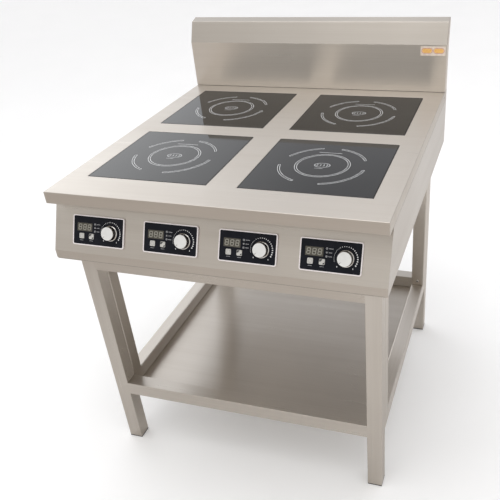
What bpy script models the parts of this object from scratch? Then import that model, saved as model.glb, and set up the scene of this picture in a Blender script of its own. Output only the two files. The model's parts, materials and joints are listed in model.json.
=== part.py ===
"""Four-zone commercial induction hob on an open stand.

Frame: metres, +Z up, the front faces -Y, the user's left is -X, and the origin is on the
floor under the middle of the object's bounding box.
"""
import math

import bmesh
import bpy
from mathutils import Matrix, Vector

# Overall sizes
HALF_WIDTH = 0.400
FRONT_Y = -0.445            # foremost line: the lip under the control fascia
NOSE_Y = -0.429             # front edge of the worktop
REAR_Y = 0.433              # rear face of the casing
TOP_Z = 0.805               # working height
CASE_TOP_Z = 0.776          # underside of the worktop's folded edges
CASE_BOTTOM_Z = 0.639
NOSE_RETURN = 0.037         # how far the fold under the nosing runs back
SHEET = 0.0015              # stainless sheet thickness
GAP = 0.0003                # clearance between pieces that touch
FLANGE = 0.020              # inward folds of the casing sheets

# Control fascia: it leans back from a bend line just above its bottom lip
LEAN = math.radians(25.8)
BEND_Z = 0.6615
FASCIA_RETURN_Y = -0.400    # how far the fold under the fascia runs back
FASCIA_TOP_FOLD = 0.017
FASCIA_CORNER_RADIUS = 0.005

# Backsplash
SPLASH_Y = 0.391
SPLASH_BOTTOM_Z = 0.806
SPLASH_BEND_Z = 0.940
SPLASH_TOP_Z = 1.0055
SPLASH_REAR_Y = 0.429
SPLASH_TOP_REAR_Y = 0.445
BADGE_SIZE = (0.071, 0.0008, 0.026)
BADGE_CENTRE = (0.3605, 0.923)

# Cooking zones
ZONE_X = 0.1915
ZONE_Y = (-0.181, 0.1835)
GLASS_SIZE = (0.305, 0.297)
GLASS_THICKNESS = 0.006
GLASS_RADIUS = 0.002
POCKET_MARGIN = 0.0015      # pocket edge to glass edge
LEDGE_WIDTH = 0.010
LEDGE_TOP_Z = TOP_Z - 0.007
SEAL_WIDTH = 0.0009
COIL_RADII = (0.030, 0.110)
COIL_Z = (0.785, 0.793)
CARRIER_RADIUS = 0.120
CARRIER_Z = (0.776, COIL_Z[0] - GAP)
HUB_RADIUS = 0.024
HUB_TOP_Z = 0.792
FERRITE_BAR = (0.080, 0.012, 0.0075)
FERRITE_BARS = 6

# Power modules: one inverter and fan under each zone
MODULE_SIZE = (0.260, 0.220, 0.003)
FAN_OFFSET_X = -0.065
FAN_FRAME = 0.120
FAN_FRAME_HEIGHT = 0.038
FAN_DUCT_RADIUS = 0.057
FAN_STRUTS = 3
MOTOR_RADIUS = 0.022
MOTOR_HEIGHT = 0.010
ROTOR_HUB_RADIUS = 0.021
ROTOR_TIP_RADIUS = 0.053
ROTOR_Z = (0.633, 0.658)
ROTOR_BLADES = 7
BLADE_PITCH = math.radians(35)
STRUT_WIDTH = 0.006
STRUT_DEPTH = 0.002
HEATSINK_SIZE = (0.090, 0.070, 0.006)
HEATSINK_PLACE = (0.070, 0.060)
HEATSINK_FINS = 8
FIN_HEIGHT = 0.045
FIN_THICKNESS = 0.002
CAPACITOR_RADIUS = 0.018
CAPACITOR_HEIGHT = 0.042
CAPACITOR_PLACES = ((0.035, -0.025), (0.085, -0.025))
CHOKE_LOW = (0.030, -0.095)
CHOKE_HIGH = (0.080, -0.055)
CHOKE_HEIGHT = 0.034
POST_RADIUS = 0.004
POST_CIRCLE = 0.100
POST_ANGLES = (0, 90, 270)

# Exhaust slots of the rear panel, on each side of its middle
EXHAUST_SLOTS = 6
EXHAUST_START_X = 0.120
EXHAUST_PITCH = 0.036
EXHAUST_Z = 0.710
EXHAUST_SLOT = (0.010, 0.070)

# Tray under the casing
TRAY_BOTTOM_Z = 0.6203
TRAY_HALF_WIDTH = 0.3795
TRAY_Y = (-0.3997, 0.4112)
TRAY_LIP = 0.012
INTAKE_SLOT = (0.090, 0.008)
INTAKE_SLOTS = 5
INTAKE_PITCH = 0.018

# Mains entry
GLAND_POSITION = (-0.220, 0.370)
GLAND_RADII = (0.005, 0.0074, 0.014)
GLAND_Z = (0.598, 0.632)
TERMINAL_LOW = (-0.340, 0.340, 0.6222)
TERMINAL_SIZE = (0.070, 0.034, 0.028)

# Stand of square tube
TUBE = 0.038
STAND_HALF_WIDTH = 0.377
FRONT_LEG_Y = -0.396
REAR_LEG_Y = 0.297
SIDE_FRAME_GAP = 0.001
LOWER_RAIL_Z = 0.172
UPPER_RAIL_Z = 0.582
STAND_TOP_Z = UPPER_RAIL_Z + TUBE
FOOT_HEIGHT = 0.003
PLUG_HEIGHT = 0.015
BOLT_HOLE_RADIUS = 0.0045
STIFFENER_Y = (-0.060, 0.000)
STIFFENER_DEPTH = 0.018

# Controls
CONTROL_PITCH = 0.1856
CONTROL_ROW_X = -0.003
CONTROL_RISE = 0.0544       # bend line to control centre, along the fascia
PLATE_SIZE = (0.135, 0.070)
PLATE_RADIUS = 0.005
PLATE_THICKNESS = 0.003
WINDOW_SIZE = (0.120, 0.056)
BOARD_SIZE = (0.118, 0.054)
BOARD_DEPTH = 0.024
BUTTON_SIZE = 0.0125
BUTTON_RADIUS = 0.002
BUTTON_PROUD = 0.0008
BUTTON_HEIGHT = 0.0046
BUTTON_CLEARANCE = 0.00035
BUTTON_POCKET_DEPTH = 0.0053
BUTTON_X = (-0.0437, -0.0180)
BUTTON_Y = -0.0135
KNOB_PLACE = (0.0324, -0.0018)
KNOB_HEIGHT = 0.0143
KNOB_RADIUS = 0.0158
KNOB_SKIRT_RADIUS = 0.018
SPINDLE_RADIUS = 0.003
SPINDLE_HOLE_RADIUS = 0.0036
SPINDLE_DEPTH = 0.010

SIDES = (("left", -1), ("right", 1))
ROWS = (("front", ZONE_Y[0]), ("rear", ZONE_Y[1]))


def clear_scene():
    for existing in list(bpy.data.objects):
        bpy.data.objects.remove(existing, do_unlink=True)


def make_material(name, colour, roughness, metallic):
    material = bpy.data.materials.new(name)
    material.use_nodes = True
    shader = material.node_tree.nodes["Principled BSDF"]
    shader.inputs["Base Color"].default_value = (*colour, 1.0)
    shader.inputs["Roughness"].default_value = roughness
    shader.inputs["Metallic"].default_value = metallic
    return material


def add_object(name, bm, material=None):
    """Turns a bmesh into a named object with outward faces."""
    bmesh.ops.recalc_face_normals(bm, faces=bm.faces)
    mesh = bpy.data.meshes.new(name)
    bm.to_mesh(mesh)
    bm.free()
    if material is not None:
        mesh.materials.append(material)
    added = bpy.data.objects.new(name, mesh)
    bpy.context.scene.collection.objects.link(added)
    return added


def box(name, low, high, material=None):
    size = Vector(high) - Vector(low)
    bm = bmesh.new()
    bmesh.ops.create_cube(bm, size=1.0)
    bmesh.ops.scale(bm, vec=size, verts=bm.verts)
    bmesh.ops.translate(bm, vec=Vector(low) + size / 2, verts=bm.verts)
    return add_object(name, bm, material)


def centred_box(name, centre, size, material=None):
    half = Vector(size) / 2
    return box(name, Vector(centre) - half, Vector(centre) + half, material)


def prism(name, outline, low_x, high_x, material=None):
    """Extrudes a (y, z) outline along X."""
    bm = bmesh.new()
    face = bm.faces.new([bm.verts.new((low_x, y, z)) for y, z in outline])
    moved = bmesh.ops.extrude_face_region(bm, geom=[face])["geom"]
    far_end = [v for v in moved if isinstance(v, bmesh.types.BMVert)]
    bmesh.ops.translate(bm, vec=(high_x - low_x, 0, 0), verts=far_end)
    return add_object(name, bm, material)


def rounded_plate(name, centre, size, z_range, radius, material=None, segments=3):
    """A flat plate whose vertical edges are rounded."""
    low_z, high_z = z_range
    bm = bmesh.new()
    bmesh.ops.create_cube(bm, size=1.0)
    bmesh.ops.scale(bm, vec=(size[0], size[1], high_z - low_z), verts=bm.verts)
    bmesh.ops.translate(bm, vec=(centre[0], centre[1], (low_z + high_z) / 2), verts=bm.verts)
    upright = [e for e in bm.edges if abs(e.verts[0].co.z - e.verts[1].co.z) > 1e-5]
    bmesh.ops.bevel(bm, geom=upright, offset=radius, segments=segments, profile=0.5,
                    affect="EDGES", clamp_overlap=True)
    return add_object(name, bm, material)


def turned(name, profile, material=None, segments=32):
    """Spins an (r, z) profile around Z; profile points on the axis close the piece."""
    bm = bmesh.new()
    rings = []
    for radius, height in profile:
        if radius == 0:
            rings.append([bm.verts.new((0, 0, height))])
            continue
        angles = [2 * math.pi * i / segments for i in range(segments)]
        ring = [(radius * math.cos(a), radius * math.sin(a), height) for a in angles]
        rings.append([bm.verts.new(point) for point in ring])
    closed = profile[0][0] > 0
    pairs = list(zip(rings, rings[1:]))
    if closed:
        pairs.append((rings[-1], rings[0]))
    for lower, upper in pairs:
        for i in range(segments):
            j = (i + 1) % segments
            corners = [lower[i % len(lower)], lower[j % len(lower)],
                       upper[j % len(upper)], upper[i % len(upper)]]
            bm.faces.new(list(dict.fromkeys(corners)))
    piece = add_object(name, bm, material)
    smooth_round_faces(piece)
    return piece


def cylinder(name, centre, radius, z_range, segments=24):
    low_z, high_z = z_range
    piece = turned(name, [(0, low_z), (radius, low_z), (radius, high_z), (0, high_z)], segments=segments)
    piece.data.transform(Matrix.Translation((centre[0], centre[1], 0)))
    return piece


def smooth_round_faces(piece):
    piece.data.shade_smooth()
    piece.data.set_sharp_from_angle(angle=math.radians(30))


def combine(target, tools, operation):
    """Applies exact Booleans of the tools to the target and removes the tools."""
    for tool in tools:
        modifier = target.modifiers.new("join", "BOOLEAN")
        modifier.operation = operation
        modifier.solver = "EXACT"
        modifier.object = tool
        bpy.context.view_layer.update()
        graph = bpy.context.evaluated_depsgraph_get()
        result = bpy.data.meshes.new_from_object(target.evaluated_get(graph))
        target.modifiers.clear()
        target.data = result
        target.data.name = target.name
        bpy.data.objects.remove(tool, do_unlink=True)
    return target


def join(target, tools):
    return combine(target, tools, "UNION")


def cut(target, tools):
    return combine(target, tools, "DIFFERENCE")


def inset(outline, distance):
    """Moves every side of a closed 2-D outline inwards by the same distance."""
    points = [Vector(p) for p in outline]
    area = sum(a.x * b.y - b.x * a.y for a, b in zip(points, points[1:] + points[:1]))
    turn = 1 if area > 0 else -1
    result = []
    for before, here, after in zip(points[-1:] + points[:-1], points, points[1:] + points[:1]):
        first = (here - before).normalized()
        second = (after - here).normalized()
        normal = turn * Vector((-first.y, first.x))
        mitre = turn * Vector((-first.y - second.y, first.x + second.x))
        result.append(here + mitre * distance / mitre.dot(normal))
    return [tuple(p) for p in result]


def fascia_y(z, offset=0.0):
    """Y of the leaning fascia's outer face at height z, moved inwards by offset."""
    return FRONT_Y + (z - BEND_Z) * math.tan(LEAN) + offset / math.cos(LEAN)


def zone_places():
    """Name and centre of the four cooking zones."""
    return [(f"{row}_{side}", sign * ZONE_X, y) for row, y in ROWS for side, sign in SIDES]


def fan_centre(zone_x, zone_y):
    return zone_x + FAN_OFFSET_X, zone_y


def make_worktop(steel):
    inner = HALF_WIDTH - SHEET
    top = box("worktop", (-HALF_WIDTH, NOSE_Y, TOP_Z - SHEET), (HALF_WIDTH, REAR_Y, TOP_Z), steel)
    under = TOP_Z - SHEET / 2
    folds = [
        box("nose", (-HALF_WIDTH, NOSE_Y, CASE_TOP_Z), (HALF_WIDTH, NOSE_Y + SHEET, under)),
        box("nose_return", (-inner, NOSE_Y, CASE_TOP_Z),
            (inner, NOSE_Y + NOSE_RETURN, CASE_TOP_Z + SHEET)),
        box("rear_fold", (-HALF_WIDTH, REAR_Y - SHEET, CASE_TOP_Z), (HALF_WIDTH, REAR_Y, under)),
    ]
    for _, sign in SIDES:
        low_x, high_x = sorted((sign * inner, sign * HALF_WIDTH))
        folds.append(box("side_fold", (low_x, NOSE_Y, CASE_TOP_Z), (high_x, REAR_Y, under)))
    join(top, folds)
    pocket_size = [s + 2 * POCKET_MARGIN for s in GLASS_SIZE]
    for _, x, y in zone_places():
        wall = centred_box("wall", (x, y, (LEDGE_TOP_Z + under) / 2 - SHEET / 2),
                           (*[s + 2 * SHEET for s in pocket_size], under - LEDGE_TOP_Z + SHEET))
        join(top, [wall])
        pocket = centred_box("pocket", (x, y, LEDGE_TOP_Z + 0.01), (*pocket_size, 0.02))
        opening_size = [s - 2 * LEDGE_WIDTH for s in pocket_size]
        opening = centred_box("opening", (x, y, LEDGE_TOP_Z), (*opening_size, 0.02))
        cut(top, [pocket, opening])
    return top


def make_glass(name, x, y, glass):
    z_range = (TOP_Z - GLASS_THICKNESS, TOP_Z)
    return rounded_plate(name, (x, y), GLASS_SIZE, z_range, GLASS_RADIUS, glass, 2)


def make_seal(name, x, y, silicone):
    """The silicone bead that fills the gap round the glass."""
    z_range = (LEDGE_TOP_Z + GAP, TOP_Z - GAP)
    middle = (z_range[0] + z_range[1]) / 2
    inner = [s + 2 * GAP for s in GLASS_SIZE]
    outer = [s + 2 * SEAL_WIDTH for s in inner]
    seal = centred_box(name, (x, y, middle), (*outer, z_range[1] - z_range[0]), silicone)
    return cut(seal, [centred_box("hollow", (x, y, middle), (*inner, 0.02))])


def make_coil(name, x, y, copper):
    inner, outer = COIL_RADII
    low, high = COIL_Z
    coil = turned(name, [(inner, low), (outer, low), (outer, high), (inner, high)], copper)
    coil.data.transform(Matrix.Translation((x, y, 0)))
    return coil


def make_carrier(name, x, y, plastic):
    """The disc that carries the winding, with its ferrite bars underneath."""
    low, high = CARRIER_Z
    profile = [(0, low), (CARRIER_RADIUS, low), (CARRIER_RADIUS, high), (HUB_RADIUS, high),
               (HUB_RADIUS, HUB_TOP_Z), (0, HUB_TOP_Z)]
    carrier = turned(name, profile, plastic)
    length, width, depth = FERRITE_BAR
    for i in range(FERRITE_BARS):
        bar = centred_box("bar", (0.072, 0, low - depth / 2 + 0.0005), (length, width, depth + 0.001))
        bar.data.transform(Matrix.Rotation(2 * math.pi * (i + 0.75) / FERRITE_BARS, 4, "Z"))
        join(carrier, [bar])
    carrier.data.transform(Matrix.Translation((x, y, 0)))
    return carrier


def make_power_module(name, x, y, metal):
    """Base plate with fan frame, finned heatsink, capacitors, choke and carrier posts."""
    floor = TRAY_BOTTOM_Z + SHEET + GAP
    deck = floor + MODULE_SIZE[2]
    module = centred_box(name, (0, 0, floor + MODULE_SIZE[2] / 2), MODULE_SIZE, metal)
    sunk = deck - 0.001
    frame = box("fan_frame", (FAN_OFFSET_X - FAN_FRAME / 2, -FAN_FRAME / 2, sunk),
                (FAN_OFFSET_X + FAN_FRAME / 2, FAN_FRAME / 2, deck + FAN_FRAME_HEIGHT))
    join(module, [frame])
    duct = cylinder("duct", (FAN_OFFSET_X, 0), FAN_DUCT_RADIUS, (floor - 0.01, deck + 0.1), 32)
    cut(module, [duct])
    motor = cylinder("motor", (FAN_OFFSET_X, 0), MOTOR_RADIUS, (floor, floor + MOTOR_HEIGHT), 16)
    for i in range(FAN_STRUTS):
        strut = box("strut", (0, -STRUT_WIDTH / 2, floor + 0.0005),
                    (FAN_DUCT_RADIUS + 0.002, STRUT_WIDTH / 2, floor + 0.0005 + STRUT_DEPTH))
        turn = Matrix.Rotation(2 * math.pi * (i + 0.5) / FAN_STRUTS, 4, "Z")
        strut.data.transform(Matrix.Translation((FAN_OFFSET_X, 0, 0)) @ turn)
        join(motor, [strut])
    join(module, [motor])
    sink_x, sink_y = HEATSINK_PLACE
    length, width, base = HEATSINK_SIZE
    join(module, [centred_box("sink", (sink_x, sink_y, sunk + base / 2), HEATSINK_SIZE)])
    for i in range(HEATSINK_FINS):
        fin_y = sink_y + (i / (HEATSINK_FINS - 1) - 0.5) * (width - FIN_THICKNESS)
        low_y, high_y = fin_y - FIN_THICKNESS / 2, fin_y + FIN_THICKNESS / 2
        fin = box("fin", (sink_x - length / 2, low_y, sunk + base - 0.001),
                  (sink_x + length / 2, high_y, sunk + base + FIN_HEIGHT))
        join(module, [fin])
    capacitor_z = (sunk, deck + CAPACITOR_HEIGHT)
    join(module, [cylinder("capacitor", place, CAPACITOR_RADIUS, capacitor_z, 16)
                  for place in CAPACITOR_PLACES])
    join(module, [box("choke", (*CHOKE_LOW, sunk), (*CHOKE_HIGH, deck + CHOKE_HEIGHT))])
    for angle in POST_ANGLES:
        turn = math.radians(angle)
        place = (POST_CIRCLE * math.cos(turn), POST_CIRCLE * math.sin(turn))
        join(module, [cylinder("post", place, POST_RADIUS, (sunk, CARRIER_Z[0] - GAP), 8)])
    module.data.transform(Matrix.Translation((x, y, 0)))
    return module


def make_fan_rotor(name, x, y, plastic):
    """Hub with pitched blades; its origin is on the spin axis."""
    low, high = ROTOR_Z
    middle = (low + high) / 2
    half = (high - low) / 2
    rotor = turned(name, [(0, -half), (ROTOR_HUB_RADIUS, -half), (ROTOR_HUB_RADIUS, half), (0, half)],
                   plastic, 24)
    reach = ROTOR_TIP_RADIUS - ROTOR_HUB_RADIUS + 0.004
    for i in range(ROTOR_BLADES):
        blade = centred_box("blade", (0, 0, 0), (reach, 0.0016, 0.020))
        blade.data.transform(Matrix.Rotation(BLADE_PITCH, 4, "X"))
        blade.data.transform(Matrix.Translation((ROTOR_TIP_RADIUS - reach / 2, 0, 0)))
        blade.data.transform(Matrix.Rotation(2 * math.pi * i / ROTOR_BLADES, 4, "Z"))
        join(rotor, [blade])
    rotor.location = (x, y, middle)
    return rotor


def make_front_panel(steel):
    """Fascia, bottom lip and inward folds, with a window behind each control."""
    top_z = CASE_TOP_Z - GAP
    outer = [(fascia_y(top_z), top_z), (FRONT_Y, BEND_Z), (FRONT_Y, CASE_BOTTOM_Z)]
    bend_in = BEND_Z + SHEET * math.tan(LEAN / 2)
    inner = [(FRONT_Y + SHEET, CASE_BOTTOM_Z), (FRONT_Y + SHEET, bend_in),
             (fascia_y(top_z, SHEET), top_z)]
    panel = prism("front_panel", outer + inner, -HALF_WIDTH, HALF_WIDTH, steel)
    reach = HALF_WIDTH - 2 * SHEET
    top_y = fascia_y(top_z)
    folds = [
        box("bottom_fold", (-reach, FRONT_Y + 0.0005, CASE_BOTTOM_Z),
            (reach, FASCIA_RETURN_Y, CASE_BOTTOM_Z + SHEET)),
        box("top_fold", (-reach, top_y + 0.0010, top_z - SHEET),
            (reach, top_y + FASCIA_TOP_FOLD, top_z)),
    ]
    join(panel, folds)
    cut(panel, [corner_waste(sign) for _, sign in SIDES])
    windows = []
    for _, x in control_places():
        window = centred_box("window", (0, 0, 0), (*WINDOW_SIZE, 0.02))
        window.data.transform(control_matrix(x))
        windows.append(window)
    return cut(panel, windows)


def corner_waste(sign):
    """What is cut off a bottom corner of the fascia to round it."""
    radius = FASCIA_CORNER_RADIUS
    x, z = sign * (HALF_WIDTH - radius), CASE_BOTTOM_Z + radius
    low_x, high_x = sorted((x, sign * (HALF_WIDTH + 0.01)))
    waste = box("waste", (low_x, FRONT_Y - 0.01, CASE_BOTTOM_Z - 0.01), (high_x, FRONT_Y + 0.01, z))
    core = cylinder("core", (0, 0), radius, (-0.05, 0.05), 32)
    core.data.transform(Matrix.Translation((x, FRONT_Y, z)) @ Matrix.Rotation(math.pi / 2, 4, "X"))
    return cut(waste, [core])


def make_side_panel(name, sign, steel):
    """Flat side sheet behind the fascia's edge, with folds along its top and bottom."""
    top_z = CASE_TOP_Z - GAP
    clear = SHEET + GAP
    bend_in = BEND_Z + clear * math.tan(LEAN / 2)
    outline = [(FRONT_Y + clear, CASE_BOTTOM_Z), (REAR_Y, CASE_BOTTOM_Z), (REAR_Y, top_z),
               (fascia_y(top_z, clear), top_z), (FRONT_Y + clear, bend_in)]
    low_x, high_x = sorted((sign * (HALF_WIDTH - SHEET), sign * HALF_WIDTH))
    panel = prism(name, outline, low_x, high_x, steel)
    fold_x = sorted((sign * (HALF_WIDTH - FLANGE), sign * (HALF_WIDTH - SHEET / 2)))
    fold_rear = REAR_Y - SHEET - GAP
    bottom_y = FASCIA_RETURN_Y + GAP
    top_y = fascia_y(top_z) + FASCIA_TOP_FOLD + 0.001
    folds = [
        box("bottom_fold", (fold_x[0], bottom_y, CASE_BOTTOM_Z),
            (fold_x[1], fold_rear, CASE_BOTTOM_Z + SHEET)),
        box("top_fold", (fold_x[0], top_y, top_z - SHEET), (fold_x[1], fold_rear, top_z)),
    ]
    return join(panel, folds)


def make_rear_panel(steel):
    reach = HALF_WIDTH - SHEET - GAP
    top_z = CASE_TOP_Z - GAP
    panel = box("rear_panel", (-reach, REAR_Y - SHEET, CASE_BOTTOM_Z), (reach, REAR_Y, top_z), steel)
    fold_reach = HALF_WIDTH - FLANGE - GAP
    join(panel, [box("fold", (-fold_reach, REAR_Y - FLANGE, CASE_BOTTOM_Z),
                     (fold_reach, REAR_Y - SHEET / 2, CASE_BOTTOM_Z + SHEET))])
    slots = []
    for _, sign in SIDES:
        for i in range(EXHAUST_SLOTS):
            x = sign * (EXHAUST_START_X + EXHAUST_PITCH * i)
            size = (EXHAUST_SLOT[0], 0.02, EXHAUST_SLOT[1])
            slots.append(centred_box("slot", (x, REAR_Y, EXHAUST_Z), size))
    return cut(panel, slots)


def make_bottom_tray(steel):
    """Shallow pan that hangs in the casing's bottom opening and rests on the stand."""
    lip_z = CASE_BOTTOM_Z + SHEET + GAP
    low_y, high_y = TRAY_Y
    half = TRAY_HALF_WIDTH
    tray = box("bottom_tray", (-half, low_y, TRAY_BOTTOM_Z), (half, high_y, lip_z + SHEET), steel)
    join(tray, [box("lip", (-half - TRAY_LIP, low_y - TRAY_LIP, lip_z),
                    (half + TRAY_LIP, high_y + TRAY_LIP, lip_z + SHEET))])
    cut(tray, [box("hollow", (-half + SHEET, low_y + SHEET, TRAY_BOTTOM_Z + SHEET),
                   (half - SHEET, high_y - SHEET, lip_z + 0.01))])
    slots = []
    for _, zone_x, zone_y in zone_places():
        x, y = fan_centre(zone_x, zone_y)
        for i in range(INTAKE_SLOTS):
            slot_y = y + (i - (INTAKE_SLOTS - 1) / 2) * INTAKE_PITCH
            slots.append(centred_box("slot", (x, slot_y, TRAY_BOTTOM_Z), (*INTAKE_SLOT, 0.02)))
    hole_z = (TRAY_BOTTOM_Z - 0.01, lip_z)
    slots.append(cylinder("gland_hole", GLAND_POSITION, GLAND_RADII[1] + GAP, hole_z, 16))
    return cut(tray, slots)


def make_backsplash(steel):
    """Hollow folded upstand, open underneath, whose upper part leans back."""
    outline = [(SPLASH_Y, SPLASH_BOTTOM_Z), (SPLASH_Y, SPLASH_BEND_Z),
               (SPLASH_Y + 0.0255, SPLASH_TOP_Z - 0.008), (SPLASH_TOP_REAR_Y, SPLASH_TOP_Z),
               (SPLASH_TOP_REAR_Y, SPLASH_TOP_Z - 0.020), (SPLASH_REAR_Y, SPLASH_BEND_Z - 0.005),
               (SPLASH_REAR_Y, SPLASH_BOTTOM_Z)]
    splash = prism("backsplash", outline, -HALF_WIDTH, HALF_WIDTH, steel)
    hollow = inset(outline, SHEET)
    hollow[0] = (hollow[0][0], SPLASH_BOTTOM_Z - 0.01)
    hollow[-1] = (hollow[-1][0], SPLASH_BOTTOM_Z - 0.01)
    return cut(splash, [prism("hollow", hollow, SHEET - HALF_WIDTH, HALF_WIDTH - SHEET)])


def make_badge(enamel):
    x, z = BADGE_CENTRE
    y = SPLASH_Y - GAP - BADGE_SIZE[1] / 2
    return centred_box("badge_plate", (x, y, z), BADGE_SIZE, enamel)


def make_cable_gland(plastic):
    bore, thread, body = GLAND_RADII
    low, high = GLAND_Z
    seat = TRAY_BOTTOM_Z - GAP
    profile = [(bore, low), (body - 0.003, low), (body, low + 0.006), (body, seat), (thread, seat),
               (thread, high), (bore, high)]
    gland = turned("cable_gland", profile, plastic, 16)
    gland.data.transform(Matrix.Translation((*GLAND_POSITION, 0)))
    return gland


def make_terminal_block(plastic):
    high = Vector(TERMINAL_LOW) + Vector(TERMINAL_SIZE)
    block = box("terminal_block", TERMINAL_LOW, high, plastic)
    slots = []
    for i in range(4):
        x = TERMINAL_LOW[0] + TERMINAL_SIZE[0] * (i + 0.5) / 4
        slots.append(centred_box("slot", (x, high.y, high.z), (0.012, 0.016, 0.016)))
    return cut(block, slots)


def tube_between(low, high, open_axis=None, reach=0.0):
    """Outer box of a square tube and the box of its bore, which can run on past its ends."""
    outer_low, outer_high = Vector(low), Vector(high)
    wall = Vector((SHEET, SHEET, SHEET))
    inner_low, inner_high = outer_low + wall, outer_high - wall
    if open_axis is not None:
        inner_low[open_axis] = outer_low[open_axis] - reach
        inner_high[open_axis] = outer_high[open_axis] + reach
    return (outer_low, outer_high), (inner_low, inner_high)


def make_welded_frame(name, tubes, holes, steel):
    """Welds tubes into one hollow body and drills bolt holes along Y."""
    solids = [box(name if i == 0 else "tube", *outer) for i, (outer, _) in enumerate(tubes)]
    bores = [box("bore", *inner) for _, inner in tubes]
    frame = join(solids[0], solids[1:])
    frame.data.materials.append(steel)
    cut(frame, [join(bores[0], bores[1:])])
    drills = []
    for x, y, z in holes:
        drill = cylinder("drill", (0, 0), BOLT_HOLE_RADIUS, (-0.004, 0.004), 10)
        drill.data.transform(Matrix.Translation((x, y, z)) @ Matrix.Rotation(math.pi / 2, 4, "X"))
        drills.append(drill)
    return cut(frame, drills)


def make_end_frame(name, low_y, inner_face_y, steel):
    """Two legs with an upper and a lower cross rail."""
    high_y = low_y + TUBE
    inner_x = STAND_HALF_WIDTH - TUBE
    tubes = []
    for _, sign in SIDES:
        low_x, high_x = sorted((sign * inner_x, sign * STAND_HALF_WIDTH))
        outer, bore = tube_between((low_x, low_y, FOOT_HEIGHT + GAP), (high_x, high_y, STAND_TOP_Z))
        bore[0].z -= 0.01
        tubes.append((outer, bore))
    for low_z in (LOWER_RAIL_Z, UPPER_RAIL_Z):
        reach = inner_x + TUBE / 2
        tubes.append(tube_between((-reach, low_y, low_z), (reach, high_y, low_z + TUBE), 0, 0.001))
    bolt_x = STAND_HALF_WIDTH - TUBE / 2
    holes = [(sign * bolt_x, inner_face_y, low_z + TUBE / 2)
             for _, sign in SIDES for low_z in (LOWER_RAIL_Z, UPPER_RAIL_Z)]
    return make_welded_frame(name, tubes, holes, steel)


def make_side_frame(name, sign, steel):
    """Rectangle of tube bolted between the front and rear legs."""
    low_x, high_x = sorted((sign * (STAND_HALF_WIDTH - TUBE), sign * STAND_HALF_WIDTH))
    low_y = FRONT_LEG_Y + TUBE + SIDE_FRAME_GAP
    high_y = REAR_LEG_Y - SIDE_FRAME_GAP
    tubes = [tube_between((low_x, low_y, low_z), (high_x, high_y, low_z + TUBE))
             for low_z in (LOWER_RAIL_Z, UPPER_RAIL_Z)]
    for post_y in (low_y, high_y - TUBE):
        tubes.append(tube_between((low_x, post_y, LOWER_RAIL_Z), (high_x, post_y + TUBE, STAND_TOP_Z)))
    bolt_x = sign * (STAND_HALF_WIDTH - TUBE / 2)
    holes = [(bolt_x, y, low_z + TUBE / 2)
             for y in (low_y, high_y) for low_z in (LOWER_RAIL_Z, UPPER_RAIL_Z)]
    return make_welded_frame(name, tubes, holes, steel)


def make_shelf(steel):
    """Sheet under the lower rails, notched round the legs, with a channel stiffener."""
    inner_x = STAND_HALF_WIDTH - TUBE
    high_z = LOWER_RAIL_Z - GAP
    low_z = high_z - SHEET
    low_y, high_y = FRONT_LEG_Y + 0.002, REAR_LEG_Y + TUBE - 0.002
    reach = STAND_HALF_WIDTH - 0.002
    shelf = box("shelf", (-reach, low_y, low_z), (reach, high_y, high_z), steel)
    notches = []
    for _, sign in SIDES:
        x_range = sorted((sign * (inner_x - 0.0005), sign * 0.5))
        front_y = FRONT_LEG_Y + TUBE + 0.0005
        rear_y = REAR_LEG_Y - 0.0005
        notches.append(box("notch", (x_range[0], low_y - 0.01, 0), (x_range[1], front_y, 1)))
        notches.append(box("notch", (x_range[0], rear_y, 0), (x_range[1], high_y + 0.01, 1)))
    cut(shelf, notches)
    y0, y1 = STIFFENER_Y
    channel_z = low_z - STIFFENER_DEPTH
    channel = box("channel", (-inner_x + 0.01, y0, channel_z), (inner_x - 0.01, y1, low_z + SHEET / 2))
    cut(channel, [box("hollow", (-0.5, y0 + SHEET, channel_z + SHEET), (0.5, y1 - SHEET, 1))])
    return join(shelf, [channel])


def make_foot_cap(name, centre_x, low_y, plastic):
    """Plastic end cap plugged into a leg."""
    centre_y = low_y + TUBE / 2
    cap = centred_box(name, (centre_x, centre_y, FOOT_HEIGHT / 2), (TUBE, TUBE, FOOT_HEIGHT), plastic)
    plug = TUBE - 2 * SHEET - 2 * GAP
    return join(cap, [centred_box("plug", (centre_x, centre_y, FOOT_HEIGHT + PLUG_HEIGHT / 2 - 0.0005),
                                  (plug, plug, PLUG_HEIGHT + 0.001))])


def control_places():
    """Number and X of the four controls, left to right."""
    return [(i + 1, CONTROL_ROW_X + (i - 1.5) * CONTROL_PITCH) for i in range(4)]


def control_matrix(x):
    """Control frame: X along the row, Y up the fascia, Z out of it, origin on its face."""
    place = (x, FRONT_Y + CONTROL_RISE * math.sin(LEAN), BEND_Z + CONTROL_RISE * math.cos(LEAN))
    return Matrix.Translation(place) @ Matrix.Rotation(math.pi / 2 - LEAN, 4, "X")


def make_control_panel(name, gloss):
    """Front plate with button pockets and a spindle hole, and its board box behind."""
    face = GAP + PLATE_THICKNESS
    panel = rounded_plate(name, (0, 0), PLATE_SIZE, (GAP, face), PLATE_RADIUS, gloss)
    join(panel, [box("board", (-BOARD_SIZE[0] / 2, -BOARD_SIZE[1] / 2, -BOARD_DEPTH),
                     (BOARD_SIZE[0] / 2, BOARD_SIZE[1] / 2, GAP + 0.001))])
    pocket = BUTTON_SIZE + 2 * BUTTON_CLEARANCE
    pocket_size = (pocket, pocket, 2 * BUTTON_POCKET_DEPTH)
    tools = [centred_box("pocket", (x, BUTTON_Y, face), pocket_size) for x in BUTTON_X]
    hole_z = (face - SPINDLE_DEPTH - 0.004, 0.01)
    tools.append(cylinder("hole", KNOB_PLACE, SPINDLE_HOLE_RADIUS, hole_z))
    return cut(panel, tools)


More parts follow.
